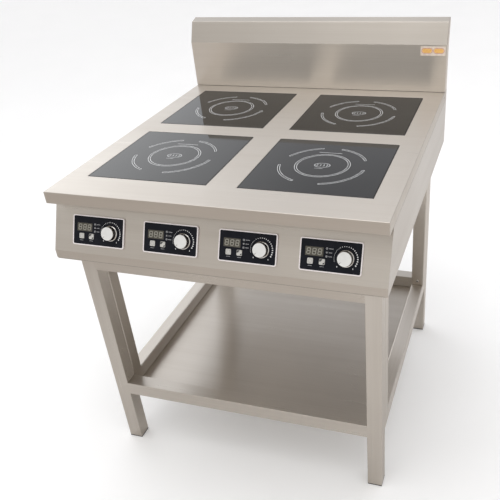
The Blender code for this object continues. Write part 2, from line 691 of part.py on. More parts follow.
def make_button(name, x, plastic):
    """Square push button; its origin is on its line of travel."""
    size = (BUTTON_SIZE, BUTTON_SIZE)
    button = rounded_plate(name, (0, 0), size, (-BUTTON_HEIGHT, 0), BUTTON_RADIUS, plastic)
    button.location = (x, BUTTON_Y, GAP + PLATE_THICKNESS + BUTTON_PROUD)
    return button


def make_knob(name, metal):
    """Turned knob with its spindle; its origin is on its axis at the plate's face."""
    base = 0.0005
    profile = [(0, -SPINDLE_DEPTH), (SPINDLE_RADIUS, -SPINDLE_DEPTH), (SPINDLE_RADIUS, base),
               (KNOB_SKIRT_RADIUS, base), (KNOB_SKIRT_RADIUS, base + 0.0018),
               (KNOB_RADIUS + 0.0006, base + 0.0036), (KNOB_RADIUS, base + KNOB_HEIGHT - 0.0008),
               (KNOB_RADIUS - 0.0008, base + KNOB_HEIGHT), (0, base + KNOB_HEIGHT)]
    knob = turned(name, profile, metal)
    knob.location = (*KNOB_PLACE, GAP + PLATE_THICKNESS)
    return knob


def make_controls(gloss, plastic, metal):
    for number, x in control_places():
        mount = bpy.data.objects.new(f"control_frame_{number}", None)
        bpy.context.scene.collection.objects.link(mount)
        mount.matrix_world = control_matrix(x)
        panel = make_control_panel(f"control_panel_{number}", gloss)
        pieces = [panel, make_knob(f"knob_{number}", metal)]
        for side, button_x in zip(("left", "right"), BUTTON_X):
            pieces.append(make_button(f"button_{side}_{number}", button_x, plastic))
        for piece in pieces:
            piece.parent = mount


def make_stand(steel, rubber):
    make_end_frame("front_frame", FRONT_LEG_Y, FRONT_LEG_Y + TUBE, steel)
    make_end_frame("rear_frame", REAR_LEG_Y, REAR_LEG_Y, steel)
    for side, sign in SIDES:
        make_side_frame(f"side_frame_{side}", sign, steel)
        leg_x = sign * (STAND_HALF_WIDTH - TUBE / 2)
        make_foot_cap(f"foot_cap_front_{side}", leg_x, FRONT_LEG_Y, rubber)
        make_foot_cap(f"foot_cap_rear_{side}", leg_x, REAR_LEG_Y, rubber)
    make_shelf(steel)


def make_casing(steel):
    make_worktop(steel)
    make_front_panel(steel)
    for side, sign in SIDES:
        make_side_panel(f"side_panel_{side}", sign, steel)
    make_rear_panel(steel)
    make_bottom_tray(steel)
    make_backsplash(steel)


def make_zones(glass, silicone, copper, carrier, module, rotor):
    for place, x, y in zone_places():
        make_glass(f"glass_{place}", x, y, glass)
        make_seal(f"glass_seal_{place}", x, y, silicone)
        make_coil(f"coil_{place}", x, y, copper)
        make_carrier(f"coil_carrier_{place}", x, y, carrier)
        make_power_module(f"power_module_{place}", x, y, module)
        make_fan_rotor(f"fan_rotor_{place}", *fan_centre(x, y), rotor)


def main():
    clear_scene()
    steel = make_material("brushed_steel", (0.60, 0.57, 0.52), 0.35, 1.0)
    black_glass = make_material("ceramic_glass", (0.010, 0.009, 0.008), 0.08, 0.0)
    black = make_material("black_plastic", (0.015, 0.015, 0.016), 0.45, 0.0)
    make_casing(steel)
    make_zones(black_glass,
               make_material("silicone", (0.05, 0.05, 0.05), 0.6, 0.0),
               make_material("copper", (0.72, 0.34, 0.18), 0.4, 1.0),
               make_material("coil_carrier", (0.75, 0.74, 0.70), 0.6, 0.0),
               make_material("aluminium", (0.62, 0.63, 0.64), 0.45, 1.0),
               black)
    make_controls(make_material("gloss_plate", (0.012, 0.012, 0.013), 0.15, 0.0),
                  make_material("button_plastic", (0.62, 0.62, 0.60), 0.45, 0.0),
                  make_material("knob_metal", (0.82, 0.81, 0.79), 0.25, 1.0))
    make_stand(steel, black)
    make_badge(make_material("enamel", (0.86, 0.70, 0.46), 0.35, 0.0))
    make_cable_gland(black)
    make_terminal_block(make_material("terminal_plastic", (0.80, 0.78, 0.72), 0.5, 0.0))


main()
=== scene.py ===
"""Visual model of the four-zone induction hob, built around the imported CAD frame.

Metres, +Z up, the front faces -Y. Every place is worked out from the CAD nodes and joints.
"""

import json
import math

import bmesh
import bpy
from mathutils import Matrix, Vector


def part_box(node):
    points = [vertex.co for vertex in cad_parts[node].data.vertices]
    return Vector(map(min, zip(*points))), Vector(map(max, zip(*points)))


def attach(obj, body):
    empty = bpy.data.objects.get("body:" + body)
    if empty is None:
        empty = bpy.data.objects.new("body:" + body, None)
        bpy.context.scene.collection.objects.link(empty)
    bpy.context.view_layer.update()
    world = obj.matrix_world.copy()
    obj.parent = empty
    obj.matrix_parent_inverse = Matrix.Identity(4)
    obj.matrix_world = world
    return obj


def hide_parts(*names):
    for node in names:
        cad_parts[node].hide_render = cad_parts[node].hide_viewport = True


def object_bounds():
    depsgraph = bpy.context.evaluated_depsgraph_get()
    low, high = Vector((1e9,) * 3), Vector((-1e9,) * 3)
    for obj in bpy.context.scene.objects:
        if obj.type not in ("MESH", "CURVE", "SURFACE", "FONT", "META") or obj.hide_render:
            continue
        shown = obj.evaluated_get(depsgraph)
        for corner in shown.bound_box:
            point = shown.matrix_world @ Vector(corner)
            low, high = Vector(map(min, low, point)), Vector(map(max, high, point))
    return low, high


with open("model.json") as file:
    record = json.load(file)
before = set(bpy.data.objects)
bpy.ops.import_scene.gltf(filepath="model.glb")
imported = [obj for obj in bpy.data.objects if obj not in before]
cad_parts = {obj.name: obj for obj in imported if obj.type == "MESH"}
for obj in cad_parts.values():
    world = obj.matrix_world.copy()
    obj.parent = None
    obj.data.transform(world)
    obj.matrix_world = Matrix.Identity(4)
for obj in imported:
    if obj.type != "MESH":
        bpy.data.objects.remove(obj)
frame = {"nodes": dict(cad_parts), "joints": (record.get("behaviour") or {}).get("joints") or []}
NODES = frame["nodes"]
JOINTS = {joint["name"]: joint for joint in frame["joints"]}
CAD_LOW, CAD_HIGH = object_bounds()

ZONES = ("front_left", "front_right", "rear_left", "rear_right")
CONTROLS = (1, 2, 3, 4)
SIDES = (("left", -1), ("right", 1))

# Stand: where its rails end
FOOT_LOW, FOOT_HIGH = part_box("foot_cap_front_right")
TUBE = FOOT_HIGH.x - FOOT_LOW.x
SIDE_LOW, SIDE_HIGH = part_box("side_frame_right")
END_RAIL_REACH = FOOT_LOW.x
SIDE_RAIL_MIDDLE = (SIDE_LOW.y + SIDE_HIGH.y) / 2
SIDE_RAIL_REACH = (SIDE_HIGH.y - SIDE_LOW.y) / 2 - TUBE

# Depth of the screws that hold the worktop's side folds, just in front of the backsplash
SPLASH_SCREW_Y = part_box("backsplash")[0].y - 0.006

# Camera of the product view
CAMERA_PLACE = (0.6133, -1.5338, 1.4082)
CAMERA_AZIMUTH = 19.70988
CAMERA_ELEVATION = 32.17001
CAMERA_ROLL = -4.22436
CAMERA_LENS = 47.113
CAMERA_SHIFT = (-0.1092, 0.0432)


def middle_of(name):
    """Middle of a CAD node's box, seen from above."""
    low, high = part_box(name)
    return (low.x + high.x) / 2, (low.y + high.y) / 2


# ---------- node helpers

def wire(tree, made, inputs):
    """Sets a node's inputs, each to a plain value or by a link from another node's output."""
    for key, value in inputs.items():
        if isinstance(value, bpy.types.NodeSocket):
            tree.links.new(value, made.inputs[key])
        else:
            made.inputs[key].default_value = value


def node(tree, kind, inputs=None, **settings):
    made = tree.nodes.new(kind)
    for key, value in settings.items():
        setattr(made, key, value)
    wire(tree, made, inputs or {})
    return made


def maths(tree, operation, first, second=0.0, third=0.0):
    inputs = {0: first, 1: second, 2: third}
    return node(tree, "ShaderNodeMath", inputs, operation=operation).outputs[0]


def noise(tree, vector, scale, detail=2.0, rough=0.5):
    inputs = {"Vector": vector, "Scale": scale, "Detail": detail, "Roughness": rough}
    return node(tree, "ShaderNodeTexNoise", inputs).outputs["Fac"]


def stretched(tree, vector, scale):
    return node(tree, "ShaderNodeMapping", {"Vector": vector, "Scale": scale}).outputs["Vector"]


def remap(tree, value, low, high, to_low, to_high):
    inputs = {"Value": value, "From Min": low, "From Max": high, "To Min": to_low, "To Max": to_high}
    return node(tree, "ShaderNodeMapRange", inputs).outputs["Result"]


def blend_colours(tree, factor, *pair):
    first, second = (part if isinstance(part, bpy.types.NodeSocket) else (*part, 1.0) for part in pair)
    return node(tree, "ShaderNodeMix", {0: factor, 6: first, 7: second}, data_type="RGBA").outputs[2]


def mix_vectors(tree, factor, first, second):
    return node(tree, "ShaderNodeMix", {0: factor, 4: first, 5: second}, data_type="VECTOR").outputs[1]


def new_material(name):
    material = bpy.data.materials.new(name)
    material.use_nodes = True
    tree = material.node_tree
    return material, tree, tree.nodes["Principled BSDF"]


def object_place(tree):
    return node(tree, "ShaderNodeTexCoord").outputs["Object"]


def bump(tree, height, distance, strength):
    inputs = {"Height": height, "Distance": distance, "Strength": strength}
    return node(tree, "ShaderNodeBump", inputs).outputs["Normal"]


# ---------- materials

STEEL_DARK = (0.535, 0.490, 0.440)
STEEL_LIGHT = (0.610, 0.570, 0.520)
AXES = {"x": (1.0, 0.0, 0.0), "y": (0.0, 1.0, 0.0), "z": (0.0, 0.0, 1.0)}
LINE_SCALE = (4.0, 620.0)       # fine brush lines: noise scale along and across them
STREAK_SCALE = (0.8, 38.0)      # broad streaks, the same
STEEL_ROUGHNESS = (0.34, 0.25)  # of the darkest and of the lightest lines
LINE_DEPTH = 0.000012
TIP = 0.02                      # keeps a brush direction from being parallel to a normal


def facing(axis):
    """Mask of the faces that look along an axis, where a folded sheet's lines run the other way."""
    def mask(tree, place):
        normal = node(tree, "ShaderNodeNewGeometry").outputs["Normal"]
        part = node(tree, "ShaderNodeSeparateXYZ", {"Vector": normal}).outputs[axis.upper()]
        return maths(tree, "GREATER_THAN", maths(tree, "ABSOLUTE", part), 0.7)
    return mask


def outside(axis, middle, limit):
    """Mask of what lies further than limit from middle along an axis, such as a frame's legs."""
    def mask(tree, place):
        part = node(tree, "ShaderNodeSeparateXYZ", {"Vector": place}).outputs[axis.upper()]
        distance = maths(tree, "ABSOLUTE", maths(tree, "SUBTRACT", part, middle))
        return maths(tree, "GREATER_THAN", distance, limit)
    return mask


def grained(tree, place, axis, other, beyond, scale):
    """Noise place stretched into lines along axis, or along other where the mask is set."""
    pair = [stretched(tree, place, tuple(scale[0] if part else scale[1] for part in AXES[name]))
            for name in (axis, other)]
    return mix_vectors(tree, beyond, *pair)


def brush_direction(tree, axis, other, beyond):
    """Unit line direction, tipped a little so that it is never parallel to a face's normal."""
    pair = []
    for name in (axis, other):
        parts = [part + TIP * (index + 1) for index, part in enumerate(AXES[name])]
        pair.append(node(tree, "ShaderNodeCombineXYZ", dict(zip("XYZ", parts))).outputs[0])
    return mix_vectors(tree, beyond, *pair)


def brushed_steel(name, axis, other, mask, painted_light_tone=1.0):
    """Satin stainless with brush lines along axis, or along other where the mask is set; painted_light_tone
    scales its colour, above 1 a painted lit copy, below 1 a painted shaded copy.
    """
    material, tree, shader = new_material(name)
    place = object_place(tree)
    beyond = mask(tree, place)
    fine = noise(tree, grained(tree, place, axis, other, beyond, LINE_SCALE), 1.0, 3.0, 0.6)
    broad = noise(tree, grained(tree, place, axis, other, beyond, STREAK_SCALE), 1.0, 3.0, 0.55)
    cloud = noise(tree, place, 3.5, 3.0)
    mixed = maths(tree, "MULTIPLY_ADD", fine, 0.30, maths(tree, "MULTIPLY", broad, 0.35))
    mixed = maths(tree, "MULTIPLY_ADD", cloud, 0.35, mixed)
    shade = remap(tree, mixed, 0.30, 0.70, 0.0, 1.0)
    dark = tuple(painted_light_tone * part for part in STEEL_DARK)
    light = tuple(painted_light_tone * part for part in STEEL_LIGHT)
    normal = node(tree, "ShaderNodeNewGeometry").outputs["Normal"]
    pair = {0: normal, 1: brush_direction(tree, axis, other, beyond)}
    spread = node(tree, "ShaderNodeVectorMath", pair, operation="CROSS_PRODUCT")
    wire(tree, shader, {
        "Base Color": blend_colours(tree, shade, dark, light), "Metallic": 1.0,
        "Roughness": remap(tree, mixed, 0.25, 0.75, *STEEL_ROUGHNESS),
        "Anisotropic": 0.95, "Tangent": spread.outputs[0], "Normal": bump(tree, fine, LINE_DEPTH, 0.35),
    })
    return material


def ceramic_glass(name):
    """Black glass-ceramic: faint smears change its gloss a little."""
    material, tree, shader = new_material(name)
    place = object_place(tree)
    smears = noise(tree, stretched(tree, place, (9.0, 22.0, 9.0)), 1.0, 4.0, 0.6)
    specks = noise(tree, place, 900.0, 1.0)
    shade = remap(tree, maths(tree, "MULTIPLY_ADD", specks, 0.3, smears), 0.4, 0.9, 0.0, 1.0)
    wire(tree, shader, {
        "Base Color": blend_colours(tree, shade, (0.003, 0.0026, 0.0022), (0.007, 0.006, 0.005)),
        "Roughness": remap(tree, smears, 0.3, 0.7, 0.025, 0.06), "IOR": 1.39,
        "Normal": bump(tree, noise(tree, place, 14.0, 1.0), 0.00006, 0.4),
    })
    return material


def mottled(name, first, second, scale, rough, metallic=0.0, bumps=0.0, stretch=None, specular=0.5):
    """Moulded, cast or printed finish: two tones, uneven gloss and a fine surface."""
    material, tree, shader = new_material(name)
    place = object_place(tree)
    if stretch is not None:
        place = stretched(tree, place, stretch)
    patches = noise(tree, place, scale, 3.0, 0.55)
    wire(tree, shader, {
        "Base Color": blend_colours(tree, remap(tree, patches, 0.3, 0.7, 0.0, 1.0), first, second),
        "Roughness": remap(tree, patches, 0.3, 0.7, *rough), "Metallic": metallic,
        "Specular IOR Level": specular,
    })
    if bumps:
        wire(tree, shader, {"Normal": bump(tree, noise(tree, place, scale * 6.0, 2.0), bumps, 0.6)})
    return material


def distance_from_axis(tree, centre):
    """Radius from a vertical axis through centre, in metres."""
    parts = node(tree, "ShaderNodeSeparateXYZ", {"Vector": object_place(tree)}).outputs
    along_x = maths(tree, "SUBTRACT", parts["X"], centre[0])
    along_y = maths(tree, "SUBTRACT", parts["Y"], centre[1])
    squares = maths(tree, "MULTIPLY_ADD", along_x, along_x, maths(tree, "MULTIPLY", along_y, along_y))
    return maths(tree, "SQRT", squares)


TURN_PITCH = 0.0036     # between turns of a winding


def winding(name, centre):
    """Stranded copper in flat turns around centre."""
    material, tree, shader = new_material(name)
    radius = distance_from_axis(tree, centre)
    turns = maths(tree, "SINE", maths(tree, "MULTIPLY", radius, 2 * math.pi / TURN_PITCH))
    strands = noise(tree, object_place(tree), 900.0, 2.0)
    shade = remap(tree, maths(tree, "MULTIPLY_ADD", strands, 0.5, turns), -0.6, 1.2, 0.0, 1.0)
    wire(tree, shader, {
        "Base Color": blend_colours(tree, shade, (0.22, 0.075, 0.030), (0.72, 0.36, 0.20)),
        "Roughness": remap(tree, strands, 0.3, 0.7, 0.30, 0.48), "Metallic": 0.9,
        "Normal": bump(tree, turns, 0.0006, 1.0),
    })
    return material


def make_materials():
    whites = (0.35, 0.5)
    return {
        "steel_x": brushed_steel("steel_brushed_x", "x", "z", facing("x")),
        # painted light: the backsplash's steel in two copies, lighter below its bend and darker above it
        "steel_splash_lit_and_shaded": [
            brushed_steel("steel_splash_upright_painted_lighter", "x", "z", facing("x"), painted_light_tone=1.19),
            brushed_steel("steel_splash_leaning_painted_darker", "x", "z", facing("x"), painted_light_tone=0.85),
        ],
        "steel_y": brushed_steel("steel_brushed_y", "y", "x", facing("y")),
        "steel_end_frame": brushed_steel("steel_end_frame", "x", "z", outside("x", 0.0, END_RAIL_REACH)),
        "steel_side_frame": brushed_steel(
            "steel_side_frame", "y", "z", outside("y", SIDE_RAIL_MIDDLE, SIDE_RAIL_REACH)),
        "glass": ceramic_glass("glass_ceramic_black"),
        "print": mottled("print_ceramic_white", (0.84, 0.85, 0.86), (0.95, 0.96, 0.97), 400.0, whites),
        "print_soft": mottled("print_ceramic_grey", (0.50, 0.51, 0.52), (0.62, 0.63, 0.64), 400.0, whites),
        "seal": mottled("silicone_black", (0.010, 0.010, 0.010), (0.024, 0.023, 0.022), 300.0, (0.5, 0.7)),
        "gloss": mottled("panel_gloss_black", (0.006, 0.007, 0.011), (0.010, 0.011, 0.016), 60.0,
            (0.16, 0.26), specular=0.12),
        "rim": mottled("rim_silver", (0.84, 0.78, 0.78), (0.92, 0.87, 0.87), 90.0, (0.24, 0.36), 0.15,
            stretch=(1.0, 12.0, 12.0)),
        "window": mottled("display_window", (0.075, 0.069, 0.054), (0.100, 0.092, 0.074), 120.0,
            (0.14, 0.24), specular=0.3),
        "digits": mottled("display_segments", (0.25, 0.24, 0.20), (0.32, 0.31, 0.27), 500.0, (0.3, 0.4)),
        "panel_print": mottled("panel_print", (0.78, 0.78, 0.78), (0.90, 0.90, 0.90), 500.0, (0.4, 0.5)),
        "label_print": mottled("label_print", (0.34, 0.34, 0.35), (0.44, 0.44, 0.45), 500.0, (0.4, 0.5)),
        "button": mottled("button_grey", (0.50, 0.49, 0.46), (0.60, 0.59, 0.56), 200.0, (0.35, 0.5),
            bumps=0.00003),
        "icon_soft": mottled("icon_soft", (0.30, 0.30, 0.28), (0.36, 0.36, 0.34), 400.0, (0.4, 0.5)),
        "icon": mottled("icon_dark", (0.030, 0.030, 0.032), (0.06, 0.06, 0.06), 400.0, (0.4, 0.5)),
        "knob": mottled("knob_polished_metal", (0.62, 0.60, 0.57), (0.74, 0.72, 0.69), 160.0,
            (0.12, 0.22), 1.0),
        # painted reflection: the knob's side band is dark metal, standing in for the dark reflection it
        # shows
        "knob_side_dark_reflection": mottled("knob_side_painted_reflection", (0.20, 0.18, 0.16), (0.30, 0.275, 0.25), 160.0,
            (0.20, 0.32), 1.0),
        "knob_face": mottled("knob_satin_face", (0.76, 0.76, 0.745), (0.82, 0.82, 0.805), 90.0,
            (0.36, 0.44), 0.35, bumps=0.00001),
        "foot": mottled("foot_plastic_black", (0.012, 0.012, 0.012), (0.03, 0.03, 0.03), 160.0,
            (0.5, 0.7), bumps=0.0001),
        "badge": mottled("badge_enamel", (0.80, 0.68, 0.58), (0.90, 0.79, 0.69), 90.0, (0.2, 0.35)),
        "badge_orange": mottled("badge_orange", (0.95, 0.52, 0.14), (1.0, 0.62, 0.22), 200.0, (0.25, 0.35)),
        "badge_red": mottled("badge_red", (0.62, 0.20, 0.15), (0.72, 0.28, 0.20), 200.0, (0.25, 0.35)),
        # dark joints of the worktop's side folds, and a painted shadow line on the fascia's lip
        "seam_and_lip_shadow": mottled("seam_sealant_and_lip_shadow", (0.20, 0.18, 0.16), (0.28, 0.26, 0.23), 300.0, (0.5, 0.6)),
        "weld": mottled("weld_metal", (0.20, 0.16, 0.12), (0.40, 0.35, 0.29), 500.0, (0.35, 0.5), 0.9),
        "screw": mottled("screw_steel", (0.50, 0.48, 0.45), (0.62, 0.60, 0.57), 300.0, (0.22, 0.34), 1.0),
        "screw_dark": mottled("screw_dark", (0.06, 0.06, 0.06), (0.10, 0.10, 0.10), 300.0, (0.35, 0.5), 0.6),
        "carrier": mottled("carrier_moulded", (0.025, 0.025, 0.027), (0.05, 0.05, 0.052), 120.0,
            (0.45, 0.6), bumps=0.0001),
        "module": mottled("module_aluminium", (0.52, 0.53, 0.54), (0.66, 0.67, 0.68), 70.0,
            (0.28, 0.45), 1.0, bumps=0.00008),
        "fan": mottled("fan_plastic_black", (0.014, 0.014, 0.015), (0.03, 0.03, 0.032), 150.0,
            (0.32, 0.5), bumps=0.00006),
        "gland": mottled("gland_polyamide", (0.16, 0.16, 0.165), (0.22, 0.22, 0.225), 180.0,
            (0.4, 0.55), bumps=0.00008),
        "terminal": mottled("terminal_polyamide", (0.66, 0.64, 0.58), (0.76, 0.74, 0.68), 150.0,
            (0.4, 0.55), bumps=0.00008),
    }


# ---------- CAD nodes

SAME_PLACE = 0.00001                # corners nearer than this are one
FLAT_ANGLE = math.radians(0.5)      # faces that meet at less are one flat face
BEND_ANGLE = math.radians(12.0)     # from here to FOLD_ANGLE: a soft bend, left as a crisp line
FOLD_ANGLE = math.radians(35.0)     # a fold or a tube's corner, which is rounded
LEAST_FOLD = 0.004
FOLD_STEPS = 4
SPLASH_BEND_Z = 0.9405              # just above the backsplash's bend, where its painted lighter steel turns to painted darker steel
FORMED = {
    "worktop": ("steel_x", 0.0030), "front_panel": ("steel_x", 0.0012),
    "backsplash": ("steel_splash_lit_and_shaded", 0.0025),
    "side_panel_left": ("steel_y", 0.0020), "side_panel_right": ("steel_y", 0.0020),
    "rear_panel": ("steel_x", 0.0015), "bottom_tray": ("steel_x", 0.0018), "shelf": ("steel_x", 0.0010),
    "front_frame": ("steel_end_frame", 0.0032), "rear_frame": ("steel_end_frame", 0.0032),
    "side_frame_left": ("steel_side_frame", 0.0032), "side_frame_right": ("steel_side_frame", 0.0032),
}


def soften(name, width):
    """Rounds the edges of a CAD node without touching its mesh."""
    piece = NODES[name]
    weld = piece.modifiers.new("weld", "WELD")
    weld.merge_threshold = SAME_PLACE
    flat = piece.modifiers.new("flat", "DECIMATE")
    flat.decimate_type = "DISSOLVE"
    flat.angle_limit = FLAT_ANGLE
    bevel = piece.modifiers.new("edge", "BEVEL")
    bevel.width = width
    bevel.segments = 2
    bevel.limit_method = "ANGLE"
    bevel.angle_limit = FOLD_ANGLE
    bevel.use_clamp_overlap = True
    piece.modifiers.new("shade", "WEIGHTED_NORMAL")


def clear_width(face, edge):
    """Width of a face measured square to the middle of one of its edges."""
    start, end = (vertex.co for vertex in edge.verts)
    middle = (start + end) / 2
    inward = face.normal.cross(end - start).normalized()
    if inward.dot(face.calc_center_median() - middle) < 0:
        inward.negate()
    side = (end - start).normalized()
    width = 1.0
    for other in face.edges:
        if other is edge:
            continue
        first, second = (vertex.co - middle for vertex in other.verts)
        along = (first.dot(side), second.dot(side))
        if along[0] * along[1] > 0 or abs(along[0] - along[1]) < 1e-7:
            continue
        part = along[0] / (along[0] - along[1])
        reach = first.lerp(second, part).dot(inward)
        if reach > 1e-6:
            width = min(width, reach)
    return width


def is_fold(edge):
    """True at an outer fold or tube corner, not at a sheet's thin cut edge or round a hole."""
    if len(edge.link_faces) != 2 or not edge.is_convex:
        return False
    if edge.calc_face_angle() < FOLD_ANGLE or edge.calc_length() < LEAST_FOLD:
        return False
    return all(clear_width(face, edge) > LEAST_FOLD for face in edge.link_faces)


def follow_crease(edge, corner):
    """Carries a soft bend's sharp edge on round the rounded end that it runs into."""
    for _ in range(FOLD_STEPS):
        onward = [other for other in corner.link_edges
                  if other is not edge and not set(other.link_faces) & set(edge.link_faces)]
        if len(onward) != 1:
            return
        edge = onward[0]
        edge.smooth = False
        corner = edge.other_vert(corner)


def form(name, radius, material):
    """The CAD sheet or tube frame with its folds rounded; stands for the node.

    A list of two materials is for a bent sheet: painted lit and shaded copies of one steel, the first below
    its bend, the second above.
    """
    bm = bmesh.new()
    bm.from_mesh(NODES[name].data)
    bmesh.ops.remove_doubles(bm, verts=bm.verts, dist=SAME_PLACE)
    bmesh.ops.dissolve_limit(bm, angle_limit=FLAT_ANGLE, verts=bm.verts, edges=bm.edges)
    folds = [edge for edge in bm.edges if is_fold(edge)]
    made = bmesh.ops.bevel(bm, geom=folds, offset=radius, segments=FOLD_STEPS, profile=0.5,
                           affect="EDGES", clamp_overlap=True)
    rounding = set(made["faces"])
    for face in bm.faces:
        face.smooth = True
    for edge in bm.edges:
        in_rounding = any(face in rounding for face in edge.link_faces)
        edge.smooth = in_rounding and edge.calc_face_angle(math.pi) < FOLD_ANGLE
    for edge in [edge for edge in bm.edges if not edge.smooth]:
        if BEND_ANGLE < edge.calc_face_angle(0.0) < FOLD_ANGLE:
            for corner in edge.verts:
                follow_crease(edge, corner)
    # painted light: faces below the bend get the first copy of the steel, faces above it the second
    if isinstance(material, list):
        for face in bm.faces:
            face.material_index = int(face.calc_center_median().z > SPLASH_BEND_Z)
    piece = add_piece(f"{name}_formed", bm, material)
    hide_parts(name)
    shade = piece.modifiers.new("shade", "WEIGHTED_NORMAL")
    shade.keep_sharp = True


def paint(name, material):
    """Gives every slot of a CAD node one material, the first of a list."""
    mesh = NODES[name].data
    first = material[0] if isinstance(material, list) else material
    for index in range(len(mesh.materials)):
        mesh.materials[index] = first


def dress_cad_nodes(look):
    """Gives every CAD node its material, and rounds the edges of those with a width."""
    dressed = {"badge_plate": ("badge", 0.0003), "cable_gland": ("gland", 0),
               "terminal_block": ("terminal", 0.0006)}
    dressed.update({name: (key, 0) for name, (key, _) in FORMED.items()})
    for row in ("front", "rear"):
        for side, _ in SIDES:
            dressed[f"foot_cap_{row}_{side}"] = ("foot", 0.0007)
    for zone in ZONES:
        dressed.update({f"glass_{zone}": ("glass", 0.0005), f"glass_seal_{zone}": ("seal", 0),
                        f"coil_carrier_{zone}": ("carrier", 0), f"power_module_{zone}": ("module", 0),
                        f"fan_rotor_{zone}": ("fan", 0)})
        paint(f"coil_{zone}", winding(f"copper_winding_{zone}", middle_of(f"coil_{zone}")))
    for number in CONTROLS:
        dressed.update({f"control_panel_{number}": ("gloss", 0.0006), f"knob_{number}": ("knob", 0),
                        f"button_left_{number}": ("button", 0.0005),
                        f"button_right_{number}": ("button", 0.0005)})
    for name, (key, width) in dressed.items():
        paint(name, look[key])
        if width:
            soften(name, width)


# ---------- mesh helpers

def add_piece(name, bm, material, body="hob", place=None, smooth_angle=None):
    """Turns a bmesh into a piece that rides on a body; smooth_angle is in degrees."""
    bmesh.ops.recalc_face_normals(bm, faces=bm.faces)
    mesh = bpy.data.meshes.new(name)
    bm.to_mesh(mesh)
    bm.free()
    if place is not None:
        mesh.transform(place)
    materials = material if isinstance(material, list) else [material]
    for part in materials:
        mesh.materials.append(part)
    if smooth_angle is not None:
        mesh.shade_smooth()
        mesh.set_sharp_from_angle(angle=math.radians(smooth_angle))
    piece = bpy.data.objects.new(name, mesh)
    bpy.context.scene.collection.objects.link(piece)
    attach(piece, body)
    return piece


def plate(bm, outline, low, high, finish=0):
    """Closed flat solid of a 2-D outline between two heights."""
    bottom = [bm.verts.new((x, y, low)) for x, y in outline]
    top = [bm.verts.new((x, y, high)) for x, y in outline]
    faces = [bm.faces.new(top), bm.faces.new(list(reversed(bottom)))]
    for i in range(len(outline)):
        j = (i + 1) % len(outline)
        faces.append(bm.faces.new((bottom[i], bottom[j], top[j], top[i])))
    for face in faces:
        face.material_index = finish


def wrap(bm, loops, finish=0):
    """Closed skin through loops of points, the last loop joined to the first."""
    rows = [[bm.verts.new(point) for point in loop] for loop in loops]
    count = len(rows[0])
    for i in range(count):
        j = (i + 1) % count
        for first, second in zip(rows, rows[1:] + rows[:1]):
            face = bm.faces.new((first[i], first[j], second[j], second[i]))
            face.material_index = finish


def ribbon(bm, outer, inner, low, high, finish=0):
    """Closed flat ring between two outlines with the same number of points."""
    wrap(bm, [[(x, y, z) for x, y in line]
              for line, z in ((outer, low), (outer, high), (inner, high), (inner, low))], finish)


def around(centre, radius, angles):
    return [(centre[0] + radius * math.cos(a), centre[1] + radius * math.sin(a)) for a in angles]


def circle(radius, count, centre=(0.0, 0.0)):
    return around(centre, radius, [2 * math.pi * i / count for i in range(count)])


def polygon(sides, radius, centre):
    """Regular polygon with a flat top."""
    return around(centre, radius, [2 * math.pi * (i + 0.5) / sides for i in range(sides)])


def arc(radius, start, end, centre=(0.0, 0.0), count=24):
    """Points of an arc; angles in degrees, counter-clockwise from +X."""
    return around(centre, radius, [math.radians(start + (end - start) * i / count)
                                   for i in range(count + 1)])


def rounded(size, radius, centre=(0.0, 0.0), count=6):
    """Outline of a rectangle with round corners."""
    half_x, half_y = size[0] / 2 - radius, size[1] / 2 - radius
    corners = ((half_x, half_y, 0), (-half_x, half_y, 90), (-half_x, -half_y, 180), (half_x, -half_y, 270))
    points = []
    for x, y, start in corners:
        points += arc(radius, start, start + 90, (centre[0] + x, centre[1] + y), count)
    return points


def join(bm, other, place=None):
    """Adds another bmesh to bm, moved by place, and frees it."""
    mesh = bpy.data.meshes.new("part")
    other.to_mesh(mesh)
    other.free()
    if place is not None:
        mesh.transform(place)
    bm.from_mesh(mesh)
    bpy.data.meshes.remove(mesh)


def lathe(bm, profile, count):
    """Spins (radius, height) points round Z; a radius of 0 closes an end."""
    rows = []
    for radius, height in profile:
        if radius == 0:
            rows.append([bm.verts.new((0, 0, height))])
        else:
            rows.append([bm.verts.new((x, y, height)) for x, y in circle(radius, count)])
    for first, second in zip(rows, rows[1:]):
        for i in range(count):
            j = (i + 1) % count
            ring = [first[i % len(first)], first[j % len(first)],
                    second[j % len(second)], second[i % len(second)]]
            bm.faces.new(list(dict.fromkeys(ring)))


# ---------- cooking zones

PRINT_SINK = 0.00003        # how far print is let into the face under it
PRINT_RISE = 0.00006
RING_RADII = (0.0600, 0.0652)
RING_LINE = 0.0009
ARC_RADII = (0.0995, 0.1045)
ARC_LINE = 0.0008
ARC_SPANS = ((103.4, 156.1), (23.7, 77.7), (-79.5, -7.2), (-173.8, -114.9))
SENSOR_LINE = (0.057, 0.0010)
SENSOR_LINE_Y = 0.075
MARK_RADII = (0.0125, 0.0113)           # centre mark, before it is widened into an oval
MARK_STRETCH = 1.55
MARK_WAVES = 4
WAVE_PITCH = 0.005
WAVE = ((-0.0009, -0.0058), (0.0, -0.0058), (0.0010, 0.0), (0.0, 0.0058), (-0.0009, 0.0058), (0.0001, 0.0))
MARK_BAR = (0.020, 0.0012)
MARK_BAR_PLACE = (-0.004, -0.0185)
GLASS_CORNER = 0.002
SEAL_IN, SEAL_OUT = 0.0002, 0.00135     # bead edges, outwards from the edge of the glass
SEAL_EDGE_DROP = 0.0003
SEAL_CROWN = 0.00015
CROWN_INSET = 0.0002


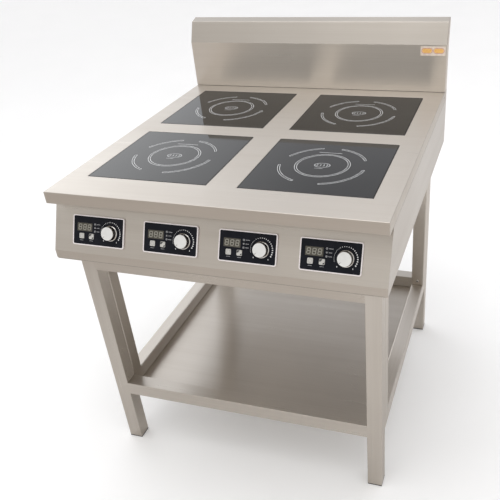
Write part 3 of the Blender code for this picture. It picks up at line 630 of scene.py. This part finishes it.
def make_seal(zone, look):
    """Silicone bead that fills the joint round the glass; stands for the CAD seal."""
    low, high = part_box(f"glass_{zone}")
    centre = middle_of(f"glass_{zone}")
    size = (high.x - low.x, high.y - low.y)
    floor, foot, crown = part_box(f"glass_seal_{zone}")[0].z, high.z - SEAL_EDGE_DROP, high.z + SEAL_CROWN
    profile = ((SEAL_OUT, floor), (SEAL_OUT, foot), (SEAL_OUT - CROWN_INSET, crown),
               (SEAL_IN + CROWN_INSET, crown), (SEAL_IN, foot), (SEAL_IN, floor))
    loops = []
    for out, height in profile:
        outline = rounded([part + 2 * out for part in size], GLASS_CORNER + out, centre)
        loops.append([(x, y, height) for x, y in outline])
    bm = bmesh.new()
    wrap(bm, loops)
    seal = add_piece(f"seal_bead_{zone}", bm, look["seal"], smooth_angle=50)
    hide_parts(f"glass_seal_{zone}")


def print_on_glass(zone, look):
    """Zone rings, four closed arcs, a sensor line and a plain centre mark."""
    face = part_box(f"glass_{zone}")[1].z
    centre = middle_of(f"glass_{zone}")
    bottom, top = face - PRINT_SINK, face + PRINT_RISE
    bm = bmesh.new()
    for radius in RING_RADII:
        ribbon(bm, circle(radius + RING_LINE / 2, 128, centre), circle(radius - RING_LINE / 2, 128, centre),
               bottom, top)
    for start, end in ARC_SPANS:
        margin = math.degrees(ARC_LINE / ARC_RADII[1])
        outer = (arc(ARC_RADII[1] + ARC_LINE / 2, start, end, centre)
                 + arc(ARC_RADII[0] - ARC_LINE / 2, end, start, centre))
        inner = (arc(ARC_RADII[1] - ARC_LINE / 2, start + margin, end - margin, centre)
                 + arc(ARC_RADII[0] + ARC_LINE / 2, end - margin, start + margin, centre))
        ribbon(bm, outer, inner, bottom, top)
    plate(bm, rounded(SENSOR_LINE, 0.0004, (centre[0], centre[1] + SENSOR_LINE_Y)), bottom, top)
    widen = Matrix.Translation((*centre, 0)) @ Matrix.Diagonal((MARK_STRETCH, 1.0, 1.0, 1.0))
    mark = bmesh.new()
    ribbon(mark, circle(MARK_RADII[0], 64), circle(MARK_RADII[1], 64), bottom, top, 1)
    for i in range(MARK_WAVES):
        middle = (i - (MARK_WAVES - 1) / 2) * WAVE_PITCH
        plate(mark, [(middle + x, y) for x, y in WAVE], bottom, top, 1)
    for vertex in mark.verts:
        vertex.co = widen @ vertex.co
    bar_place = (centre[0] + MARK_BAR_PLACE[0], centre[1] + MARK_BAR_PLACE[1])
    plate(mark, rounded(MARK_BAR, 0.0005, bar_place), bottom, top, 1)
    join(bm, mark)
    add_piece(f"glass_print_{zone}", bm, [look["print"], look["print_soft"]])


# ---------- controls

PLATE_SIZE = (0.1352, 0.0702)
RIM_WIDTH, RIM_RISE, RIM_DEPTH = 0.0025, 0.0007, 0.0029
RIM_CORNERS = (0.005, 0.0028)       # outer and inner radius
DISPLAY_CENTRE = (-0.0360, 0.0072)
DISPLAY_SIZE = (0.0395, 0.0190)
DISPLAY_RISE = 0.0003
DIGIT_SIZE = (0.0090, 0.0140)
DIGIT_PITCH = 0.0122
DIGIT_LEAN = 0.10
DIGIT_Z = (0.00025, 0.00036)
SEGMENT = 0.0019
LAMP_X = -0.0090
LAMP_ROWS = (0.0154, 0.0070, -0.0012)
LAMP_SHAPES = (12, 4, 8)            # sides of the mark round each lamp
LAMP_RADIUS, LAMP_LINE, LAMP_DOT = 0.0023, 0.0008, 0.0008
LAMP_LABEL = (0.0013, 0.0017)       # one dash of the label beside a lamp
LAMP_LABEL_X, LAMP_LABEL_PITCH = 0.0052, 0.0019
BUTTON_LABEL = (0.0012, 0.0012)
BUTTON_LABEL_Y, BUTTON_LABEL_PITCH = -0.0236, 0.0018
LABEL_CORNER = 0.0003
SCALE_RADIUS = 0.0252
SCALE_LINE = 0.00028                # half the width of the line before the dots
SCALE_LINE_SPAN = (200, 128)        # degrees, counter-clockwise from the right
SCALE_DOTS = 15
SCALE_DOT_SPAN = (122, -30)
SCALE_DOT_SIZES = (0.0013, 0.0026)
END_MARK_RADIUS = 0.0256
END_MARKS = ((-50, (0.0012, 0.0030)), (-134, (0.0016, 0.0026)))
SQUARE_ICON = ((0.0076, 0.0018), (0.0064, 0.0013))      # outer and inner side and corner radius
LEAF_ICONS = (((-0.0056, 0.0050), (-0.0056, 0.0002), (-0.0030, 0.0002), (-0.0008, 0.0030), (0.0010, 0.0040),
               (-0.0002, 0.0056)),
              ((0.0056, -0.0046), (0.0056, -0.0008), (0.0030, -0.0020), (0.0012, -0.0050)))
KNOB_PROFILE = ((0, -0.0100), (0.0026, -0.0100), (0.0030, -0.0096), (0.0030, 0.0008), (0.0172, 0.0005),
                (0.0178, 0.0008), (0.0180, 0.0013), (0.0179, 0.0019), (0.0175, 0.0023), (0.0165, 0.0029),
                (0.0161, 0.0036), (0.0159, 0.0046), (0.0158, 0.0100), (0.0157, 0.0132), (0.0155, 0.0140),
                (0.0151, 0.0145), (0.0146, 0.0147), (0.0143, 0.01458), (0.0100, 0.01454), (0.0050, 0.01452),
                (0, 0.01452))
KNOB_FACE_Z = 0.01435               # the satin face is above this
KNOB_SIDE_REFLECTION_Z = (0.0040, 0.0132)      # the side band, painted dark: a painted dark reflection
POINTER_BAR = (0.0009, 0.0034)
POINTER_Y, POINTER_DOT_Y = 0.0122, 0.0092
POINTER_Z, POINTER_TOP, POINTER_DOT_TOP = 0.0144, 0.01464, 0.01460
POINTER_DOT = 0.00035
SCALE_START = math.radians(135.0)   # from the top of the scale back to where the knob rests


def control_place(number):
    """Matrix of a control's own frame: origin mid-plate on its face, X right, Y up, Z outwards."""
    joint = JOINTS[f"knob_{number}_turn"]
    out = -Vector(joint["axis"])
    right = Vector((1, 0, 0))
    up = out.cross(right)
    corners = [vertex.co for vertex in NODES[f"control_panel_{number}"].data.vertices]
    origin = out * Vector(joint["pos_m"]).dot(out)
    for way in (right, up):
        reach = [corner.dot(way) for corner in corners]
        origin += way * (min(reach) + max(reach)) / 2
    turn = Matrix((right, up, out)).transposed().to_4x4()
    return Matrix.Translation(origin) @ turn


def segment(bm, centre, size, upright, low, high):
    """One bar of a digit, pointed at both ends."""
    half_long, half_wide = size[0] / 2, size[1] / 2
    shape = ((-half_long, 0), (-half_long + half_wide, half_wide), (half_long - half_wide, half_wide),
             (half_long, 0), (half_long - half_wide, -half_wide), (-half_long + half_wide, -half_wide))
    if upright:
        shape = [(-y, x) for x, y in shape]
    plate(bm, [(centre[0] + x + DIGIT_LEAN * y, centre[1] + y) for x, y in shape], low, high)


def make_digit(bm, centre, low, high):
    """An unlit figure of seven segments."""
    width, height = DIGIT_SIZE
    bar_x, bar_y = width - SEGMENT, height / 2 - SEGMENT / 2
    for row in (-1, 0, 1):
        y = row * bar_y
        segment(bm, (centre[0] + DIGIT_LEAN * y, centre[1] + y), (bar_x, SEGMENT), False, low, high)
    for side in (-1, 1):
        for row in (-1, 1):
            y = row * bar_y / 2
            x = side * bar_x / 2 + DIGIT_LEAN * y
            segment(bm, (centre[0] + x, centre[1] + y), (bar_y, SEGMENT), True, low, high)


def make_rim(number, place, look):
    bm = bmesh.new()
    outer = rounded(PLATE_SIZE, RIM_CORNERS[0])
    inner = rounded([part - 2 * RIM_WIDTH for part in PLATE_SIZE], RIM_CORNERS[1])
    ribbon(bm, outer, inner, -RIM_DEPTH, RIM_RISE)
    rim = add_piece(f"control_rim_{number}", bm, look["rim"], place=place)
    bevel = rim.modifiers.new("edge", "BEVEL")
    bevel.width = 0.0003
    bevel.segments = 2
    bevel.limit_method = "ANGLE"


def make_display(number, place, look):
    bm = bmesh.new()
    plate(bm, rounded(DISPLAY_SIZE, 0.0008, DISPLAY_CENTRE), -PRINT_SINK, DISPLAY_RISE)
    add_piece(f"display_window_{number}", bm, look["window"], place=place)
    bm = bmesh.new()
    for step in (-1, 0, 1):
        make_digit(bm, (DISPLAY_CENTRE[0] + step * DIGIT_PITCH, DISPLAY_CENTRE[1]), *DIGIT_Z)
    add_piece(f"display_digits_{number}", bm, look["digits"], place=place)


def button_middle(body, place):
    low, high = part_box(body)
    return place.inverted() @ ((low + high) / 2)


def print_labels(bm, number, place):
    """Lamps with dashes beside them and dashes under the buttons, in place of lettering."""
    heights = (-PRINT_SINK, PRINT_RISE, 1)
    for row, y in enumerate(LAMP_ROWS):
        spot = (LAMP_X, y)
        ribbon(bm, polygon(LAMP_SHAPES[row], LAMP_RADIUS, spot),
               polygon(LAMP_SHAPES[row], LAMP_RADIUS - LAMP_LINE, spot), *heights)
        plate(bm, circle(LAMP_DOT, 16, spot), *heights)
        for step in range(5 if row == 0 else 4):
            spot = (LAMP_X + LAMP_LABEL_X + LAMP_LABEL_PITCH * step, y)
            plate(bm, rounded(LAMP_LABEL, LABEL_CORNER, spot, 2), *heights)
    for side in ("left", "right"):
        centre = button_middle(f"button_{side}_{number}", place)
        for step in range(-2, 3):
            spot = (centre.x + step * BUTTON_LABEL_PITCH, BUTTON_LABEL_Y)
            plate(bm, rounded(BUTTON_LABEL, LABEL_CORNER, spot, 2), *heights)


def print_scale(bm, number, place):
    """A thin arc, then dots that grow, and a mark at each end of the knob's turn."""
    heights = (-PRINT_SINK, PRINT_RISE)
    axis = place.inverted() @ Vector(JOINTS[f"knob_{number}_turn"]["pos_m"])
    centre = (axis.x, axis.y)
    start, end = SCALE_LINE_SPAN
    outer, inner = SCALE_RADIUS + SCALE_LINE, SCALE_RADIUS - SCALE_LINE
    ribbon(bm, arc(outer, start, end, centre) + arc(inner, end, start, centre),
           arc(outer - SCALE_LINE / 2, start - 1, end + 1, centre)
           + arc(inner + SCALE_LINE / 2, end + 1, start - 1, centre), *heights)
    for i in range(SCALE_DOTS):
        part = i / (SCALE_DOTS - 1)
        angle = math.radians(SCALE_DOT_SPAN[0] + part * (SCALE_DOT_SPAN[1] - SCALE_DOT_SPAN[0]))
        size = SCALE_DOT_SIZES[0] + part * (SCALE_DOT_SIZES[1] - SCALE_DOT_SIZES[0])
        turn = Matrix.Rotation(angle, 2)
        spot = Vector(around(centre, SCALE_RADIUS, [angle])[0])
        dot = rounded((size * 1.15, size), size * 0.25, count=2)
        plate(bm, [turn @ Vector(point) + spot for point in dot], *heights)
    for angle, size in END_MARKS:
        spot = around(centre, END_MARK_RADIUS, [math.radians(angle)])[0]
        plate(bm, rounded(size, 0.0004, spot, 2), *heights)


def make_control_face(number, look):
    place = control_place(number)
    make_rim(number, place, look)
    make_display(number, place, look)
    bm = bmesh.new()
    print_labels(bm, number, place)
    print_scale(bm, number, place)
    add_piece(f"panel_print_{number}", bm, [look["panel_print"], look["label_print"]],
              place=place)


def button_face(body, place):
    """Height of a button's front face in its control's frame."""
    return max((place.inverted() @ vertex.co).z for vertex in NODES[body].data.vertices)


def make_button_icons(number, look):
    """Plain marks on the two buttons; they move with them."""
    place = control_place(number)
    for side in ("left", "right"):
        body = f"button_{side}_{number}"
        centre = button_middle(body, place)
        face = button_face(body, place)
        heights = (face - PRINT_SINK, face + PRINT_RISE)
        bm = bmesh.new()
        if side == "left":
            outer, inner = (rounded((size, size), corner, (centre.x, centre.y), 4)
                            for size, corner in SQUARE_ICON)
            ribbon(bm, outer, inner, *heights)
            finish = look["icon_soft"]
        else:
            for leaf in LEAF_ICONS:
                plate(bm, [(centre.x + x, centre.y + y) for x, y in leaf], *heights)
            finish = look["icon"]
        add_piece(f"button_icon_{side}_{number}", bm, finish, body, place)


def make_knob(number, look):
    """Turned cap with a satin face, a side band painted dark as a painted reflection, and a skirt, and its
    pointer.

    The cap stands for the CAD knob. The pointer rests at the mark where the scale starts.
    """
    joint = JOINTS[f"knob_{number}_turn"]
    place = control_place(number)
    knob_place = Matrix.Translation(Vector(joint["pos_m"]) - place.translation) @ place
    bm = bmesh.new()
    lathe(bm, KNOB_PROFILE, 96)
    for face in bm.faces:
        height = face.calc_center_median().z
        if height > KNOB_FACE_Z:
            face.material_index = 1
        # painted reflection: the side band is given the dark metal
        elif KNOB_SIDE_REFLECTION_Z[0] < height < KNOB_SIDE_REFLECTION_Z[1]:
            face.material_index = 2
    finishes = [look["knob"], look["knob_face"], look["knob_side_dark_reflection"]]
    knob = add_piece(f"knob_cap_{number}", bm, finishes, f"knob_{number}", knob_place, 28)
    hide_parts(f"knob_{number}")
    bm = bmesh.new()
    plate(bm, rounded(POINTER_BAR, 0.0004, (0.0, POINTER_Y), 3), POINTER_Z, POINTER_TOP)
    plate(bm, circle(POINTER_DOT, 12, (0.0, POINTER_DOT_Y)), POINTER_Z, POINTER_DOT_TOP)
    pointer_place = knob_place @ Matrix.Rotation(SCALE_START, 4, "Z")
    add_piece(f"knob_pointer_{number}", bm, look["icon"], f"knob_{number}", pointer_place)


# ---------- badge and fasteners

BADGE_BAR = (0.0315, 0.0150)
BADGE_BAR_PLACE = (0.235, 0.001)    # sideways as a share of the badge's width, and up
BADGE_OUTLINE = 0.0012
BADGE_FILL = 0.93                   # of the space inside the outline
SCREW_HEAD = ((0.0, -0.0006), (0.0034, -0.0006), (0.0035, 0.0004), (0.0031, 0.0011), (0.0021, 0.0015),
              (0.0, 0.0016))
BOLT_HEAD = ((0.0, -0.0008), (0.0052, -0.0008), (0.0053, 0.0007), (0.0048, 0.0016), (0.0030, 0.0022),
             (0.0, 0.0023))
SLOT_SHARE = (1.05, 0.26)           # length and width of a cross slot's bars, from the head's radius
SLOT_DEPTH = 0.0003
REAR_SCREW_INSET = (0.018, 0.012)
SIDE_SCREW_SINK, SIDE_SCREW_DROP = 0.0014, 0.0145
SPLASH_SCREW_INSET = (0.030, 0.016, 0.014)
BOLT_INSET = 0.015
SEAM_WIDTH = 0.0009
SEAM_START, SEAM_END = 0.020, 0.001
STRIP_RISE, STRIP_DEPTH = 0.00005, 0.0008
# painted shadow line along the bottom of the fascia's lip: its height, its width and how far its ends stop
# short
LIP_SHADOW_RISE, LIP_SHADOW_WIDTH, LIP_SHADOW_END = 0.0013, 0.0008, 0.006
WELD_RADIUS = 0.0014
WELD_END = 0.0035
RIPPLE = 0.0012


def turned_to(place, outwards):
    """Matrix that puts Z along outwards at a place."""
    return Matrix.Translation(place) @ Vector(outwards).to_track_quat("Z", "Y").to_matrix().to_4x4()


def make_badge_print(look):
    """Two plain rounded bars on the badge plate, without letters."""
    low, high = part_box("badge_plate")
    place = turned_to(((low.x + high.x) / 2, low.y, (low.z + high.z) / 2), (0, -1, 0))
    for side, sign in (("left", 1), ("right", -1)):
        spot = (sign * (high.x - low.x) * BADGE_BAR_PLACE[0], BADGE_BAR_PLACE[1])
        outer = rounded(BADGE_BAR, BADGE_BAR[1] / 2 - 0.0001, spot)
        inner_size = [part - 2 * BADGE_OUTLINE for part in BADGE_BAR]
        inner = rounded(inner_size, inner_size[1] / 2 - 0.0001, spot)
        bm = bmesh.new()
        ribbon(bm, outer, inner, -PRINT_SINK, PRINT_RISE)
        fill = rounded([part * BADGE_FILL for part in inner_size], inner_size[1] * 0.46, spot)
        plate(bm, fill, -PRINT_SINK, PRINT_RISE, 1)
        add_piece(f"badge_bar_{side}", bm, [look["badge_red"], look["badge_orange"]],
                  place=place)


def cross_slot(bm, size, top):
    """Two thin crossed bars let into a screw's head."""
    long, wide = size
    plate(bm, rounded((long, wide), wide * 0.3, count=2), top - SLOT_DEPTH, top + 0.00004, 1)
    plate(bm, rounded((wide, long), wide * 0.3, count=2), top - SLOT_DEPTH, top + 0.00005, 1)


def make_screws(name, spots, outwards, profile, look, head="screw"):
    """Pan-head screws or bolts that share one piece."""
    whole = bmesh.new()
    for spot in spots:
        single = bmesh.new()
        lathe(single, profile, 24)
        cross_slot(single, [profile[1][0] * share for share in SLOT_SHARE], profile[-1][1])
        join(whole, single, turned_to(spot, outwards))
    add_piece(name, whole, [look[head], look["screw_dark"]], smooth_angle=40)


def make_seams_and_lip_shadow(look):
    """Sealed joints between the worktop's side folds and the casing, and a painted shadow line along the
    bottom of the fascia's lip.
    """
    low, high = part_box("side_panel_right")
    for side, sign in SIDES:
        near, far = sorted((sign * (high.x - STRIP_DEPTH), sign * (high.x + STRIP_RISE)))
        front, back = low.y + SEAM_START, high.y - SEAM_END
        bm = bmesh.new()
        plate(bm, [(near, front), (far, front), (far, back), (near, back)],
              high.z - SEAM_WIDTH / 2, high.z + SEAM_WIDTH / 2)
        add_piece(f"seam_worktop_{side}", bm, look["seam_and_lip_shadow"])
    # painted shadow: a dark strip just above the bottom edge of the fascia's lip
    low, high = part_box("front_panel")
    reach = high.x - LIP_SHADOW_END
    front, back = low.y - STRIP_RISE, low.y + STRIP_DEPTH
    bm = bmesh.new()
    plate(bm, [(-reach, front), (reach, front), (reach, back), (-reach, back)],
          low.z + LIP_SHADOW_RISE, low.z + LIP_SHADOW_RISE + LIP_SHADOW_WIDTH)
    add_piece("painted_shadow_fascia_lip", bm, look["seam_and_lip_shadow"])


def weld_bead(bm, start, end):
    """Closed wavy bead of weld metal between two points."""
    start, end = Vector(start), Vector(end)
    length = (end - start).length
    count = max(8, round(length / RIPPLE))
    profile = [(0, 0.0)]
    for i in range(count + 1):
        profile.append((WELD_RADIUS * (0.86 + 0.14 * math.sin(2.4 * i)), length * (i + 0.5) / (count + 1)))
    profile.append((0, length))
    single = bmesh.new()
    lathe(single, profile, 10)
    join(bm, single, turned_to(start, end - start))


def make_welds(look):
    """Beads in the inside corners of the four welded frames."""
    inner_x = SIDE_LOW.x
    low_rail, high_rail = SIDE_LOW.z + TUBE, SIDE_HIGH.z - TUBE
    for side, _ in SIDES:
        low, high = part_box(f"side_frame_{side}")
        bm = bmesh.new()
        for y in (low.y + TUBE, high.y - TUBE):
            for z in (low_rail, high_rail):
                weld_bead(bm, (low.x + WELD_END, y, z), (high.x - WELD_END, y, z))
        add_piece(f"welds_side_frame_{side}", bm, look["weld"], smooth_angle=60)
    for row in ("front", "rear"):
        low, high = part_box(f"{row}_frame")
        bm = bmesh.new()
        for x in (-inner_x, inner_x):
            for z in (SIDE_LOW.z, low_rail, high_rail):
                weld_bead(bm, (x, low.y + WELD_END, z), (x, high.y - WELD_END, z))
        add_piece(f"welds_{row}_frame", bm, look["weld"], smooth_angle=60)


def make_fasteners(look):
    """Screws of the casing and the bolts that join the stand's frames."""
    low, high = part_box("rear_panel")
    along, up = REAR_SCREW_INSET
    spots = [(x, high.y, z) for z in (low.z + up, high.z - up)
             for x in (low.x + along, low.x / 3, high.x / 3, high.x - along)]
    make_screws("screws_rear_panel", spots, (0, 1, 0), SCREW_HEAD, look)
    low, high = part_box("worktop")
    for side, sign in SIDES:
        spots = [(sign * (high.x - SIDE_SCREW_SINK), SPLASH_SCREW_Y, high.z - SIDE_SCREW_DROP)]
        make_screws(f"screw_backsplash_{side}", spots, (sign, 0, 0), SCREW_HEAD, look, "screw_dark")
    low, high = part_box("backsplash")
    along, deep, up = SPLASH_SCREW_INSET
    spots = [(x, high.y - deep, low.z + up) for x in (low.x + along, 0.0, high.x - along)]
    make_screws("screws_backsplash", spots, (0, 1, 0), SCREW_HEAD, look)
    for side, sign in SIDES:
        low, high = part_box(f"side_frame_{side}")
        middle = (low.x + high.x) / 2
        for row, y, way in (("front", low.y + TUBE, 1), ("rear", high.y - TUBE, -1)):
            spots = [(middle, y, z) for z in (low.z + TUBE + BOLT_INSET, high.z - TUBE - BOLT_INSET)]
            make_screws(f"bolts_frame_{row}_{side}", spots, (0, way, 0), BOLT_HEAD, look)


# ---------- studio

def make_camera():
    """Camera fitted to the product view."""
    azimuth = math.radians(CAMERA_AZIMUTH)
    elevation = math.radians(CAMERA_ELEVATION)
    roll = math.radians(CAMERA_ROLL)
    back = Vector((math.sin(azimuth) * math.cos(elevation), -math.cos(azimuth) * math.cos(elevation),
                   math.sin(elevation)))
    right = (-back).cross(Vector((0, 0, 1))).normalized()
    up = right.cross(-back)
    axis_x = right * math.cos(roll) + up * math.sin(roll)
    axis_y = up * math.cos(roll) - right * math.sin(roll)
    data = bpy.data.cameras.new("product_camera")
    data.lens = CAMERA_LENS
    data.sensor_width = 36.0
    data.shift_x, data.shift_y = CAMERA_SHIFT
    data.clip_start = 0.05
    data.clip_end = 60.0
    camera = bpy.data.objects.new("product_camera", data)
    bpy.context.scene.collection.objects.link(camera)
    turn = Matrix((axis_x, axis_y, back)).transposed().to_4x4()
    camera.matrix_world = Matrix.Translation(CAMERA_PLACE) @ turn
    bpy.context.scene.camera = camera


def softbox(name, place, target, size, radiance):
    """Lamp with an even radiance over its face, out of the camera's sight."""
    data = bpy.data.lights.new(name, "AREA")
    data.shape = "RECTANGLE"
    data.size, data.size_y = size
    data.energy = radiance * math.pi * size[0] * size[1]
    lamp = bpy.data.objects.new(name, data)
    bpy.context.scene.collection.objects.link(lamp)
    lamp.location = place
    lamp.rotation_mode = "QUATERNION"
    lamp.rotation_quaternion = (Vector(target) - Vector(place)).to_track_quat("-Z", "Y")
    lamp.visible_camera = False


WORLD_FRONT = (0.78, 0.765, 0.745)
WORLD_BACK = (0.82, 0.83, 0.865)
WORLD_RIGHT = (0.79, 0.775, 0.765)
GLOW_WAY = (-0.72, 0.604, 0.342)        # towards a bright window at the back left
GLOW_EDGES = (0.85, 1.0)
GLOW_COLOUR = (2.25, 2.29, 2.33)
WHITE = (1.0, 1.0, 1.0)
STAGE_RANGE = (-14.0, 14.0)
STAGE_THICKNESS = 0.002


def make_world():
    """White to the camera; warm in front, cool behind and with a soft glow for everything else."""
    world = bpy.data.worlds.new("studio")
    world.use_nodes = True
    tree = world.node_tree
    direction = node(tree, "ShaderNodeTexCoord").outputs["Generated"]
    parts = node(tree, "ShaderNodeSeparateXYZ", {"Vector": direction}).outputs
    depth = remap(tree, parts["Y"], -0.7, 0.7, 0.0, 1.0)
    shade = blend_colours(tree, depth, WORLD_FRONT, WORLD_BACK)
    towards = node(tree, "ShaderNodeVectorMath", {0: direction, 1: GLOW_WAY}, operation="DOT_PRODUCT")
    glow = remap(tree, towards.outputs["Value"], *GLOW_EDGES, 0.0, 1.0)
    glow = maths(tree, "MULTIPLY", glow, glow)
    shade = blend_colours(tree, glow, shade, GLOW_COLOUR)
    right = remap(tree, parts["X"], 0.3, 0.9, 0.0, 1.0)
    shade = blend_colours(tree, right, shade, WORLD_RIGHT)
    seen = node(tree, "ShaderNodeLightPath").outputs["Is Camera Ray"]
    wire(tree, tree.nodes["Background"], {"Color": blend_colours(tree, seen, shade, WHITE)})
    bpy.context.scene.world = world


def floor_paper():
    """White sweep; a little light of its own keeps it clean right out to the edges."""
    material = mottled("floor_white", (0.91, 0.91, 0.91), (0.94, 0.94, 0.94), 3.0, (0.8, 0.9))
    tree = material.node_tree
    wire(tree, tree.nodes["Principled BSDF"],
         {"Emission Color": (*WHITE, 1.0), "Emission Strength": 0.12})
    return material


def dim_paper():
    """What steel sees of the floor: a little grey, and lighter towards the right."""
    material, tree, shader = new_material("floor_in_steel")
    across = node(tree, "ShaderNodeSeparateXYZ", {"Vector": object_place(tree)}).outputs["X"]
    lighter = remap(tree, across, -1.0, 0.3, 0.0, 1.0)
    shade = blend_colours(tree, lighter, (0.69, 0.675, 0.66), (0.90, 0.885, 0.87))
    wire(tree, shader, {"Base Color": shade, "Roughness": 0.9})
    return material


def stage_plate(name, x_range, y_range, rise, material):
    """Thin flat stage piece whose top is a little above or below the feet."""
    bm = bmesh.new()
    (x0, x1), (y0, y1) = x_range, y_range
    top = CAD_LOW.z + rise
    plate(bm, [(x0, y0), (x1, y0), (x1, y1), (x0, y1)], top - STAGE_THICKNESS, top)
    mesh = bpy.data.meshes.new(name)
    bm.to_mesh(mesh)
    bm.free()
    mesh.materials.append(material)
    made = bpy.data.objects.new(name, mesh)
    bpy.context.scene.collection.objects.link(made)
    return made


def seen_in_steel_only(made):
    """Leaves a stage piece to glossy rays alone."""
    made.visible_camera = False
    made.visible_diffuse = False
    made.visible_shadow = False


def warm_card():
    """Where the white sweep ends in front: seen only in the reflections of upright steel."""
    card = mottled("studio_card_warm", (0.50, 0.42, 0.36), (0.64, 0.57, 0.51), 1.2, (0.7, 0.9))
    seen_in_steel_only(stage_plate("studio_card", (-4.0, 4.0), (-4.5, -1.42), 0.003, card))


def make_studio():
    """The white floor is for the camera and soft light; a greyer one above it is for reflections."""
    bpy.context.scene.view_settings.view_transform = "Standard"
    make_world()
    softbox("softbox_top", (-0.3, -0.3, 3.6), (0.0, 0.0, 0.3), (3.2, 3.2), 1.35)
    warm_card()
    floor = stage_plate("floor", STAGE_RANGE, STAGE_RANGE, -0.0005, floor_paper())
    floor.visible_glossy = False
    seen_in_steel_only(stage_plate("floor_in_steel", STAGE_RANGE, STAGE_RANGE, 0.0002, dim_paper()))


look = make_materials()
dress_cad_nodes(look)
for name, (key, radius) in FORMED.items():
    form(name, radius, look[key])
for zone in ZONES:
    make_seal(zone, look)
    print_on_glass(zone, look)
for number in CONTROLS:
    make_control_face(number, look)
    make_button_icons(number, look)
    make_knob(number, look)
make_badge_print(look)
make_fasteners(look)
make_seams_and_lip_shadow(look)
make_welds(look)
make_studio()
make_camera()
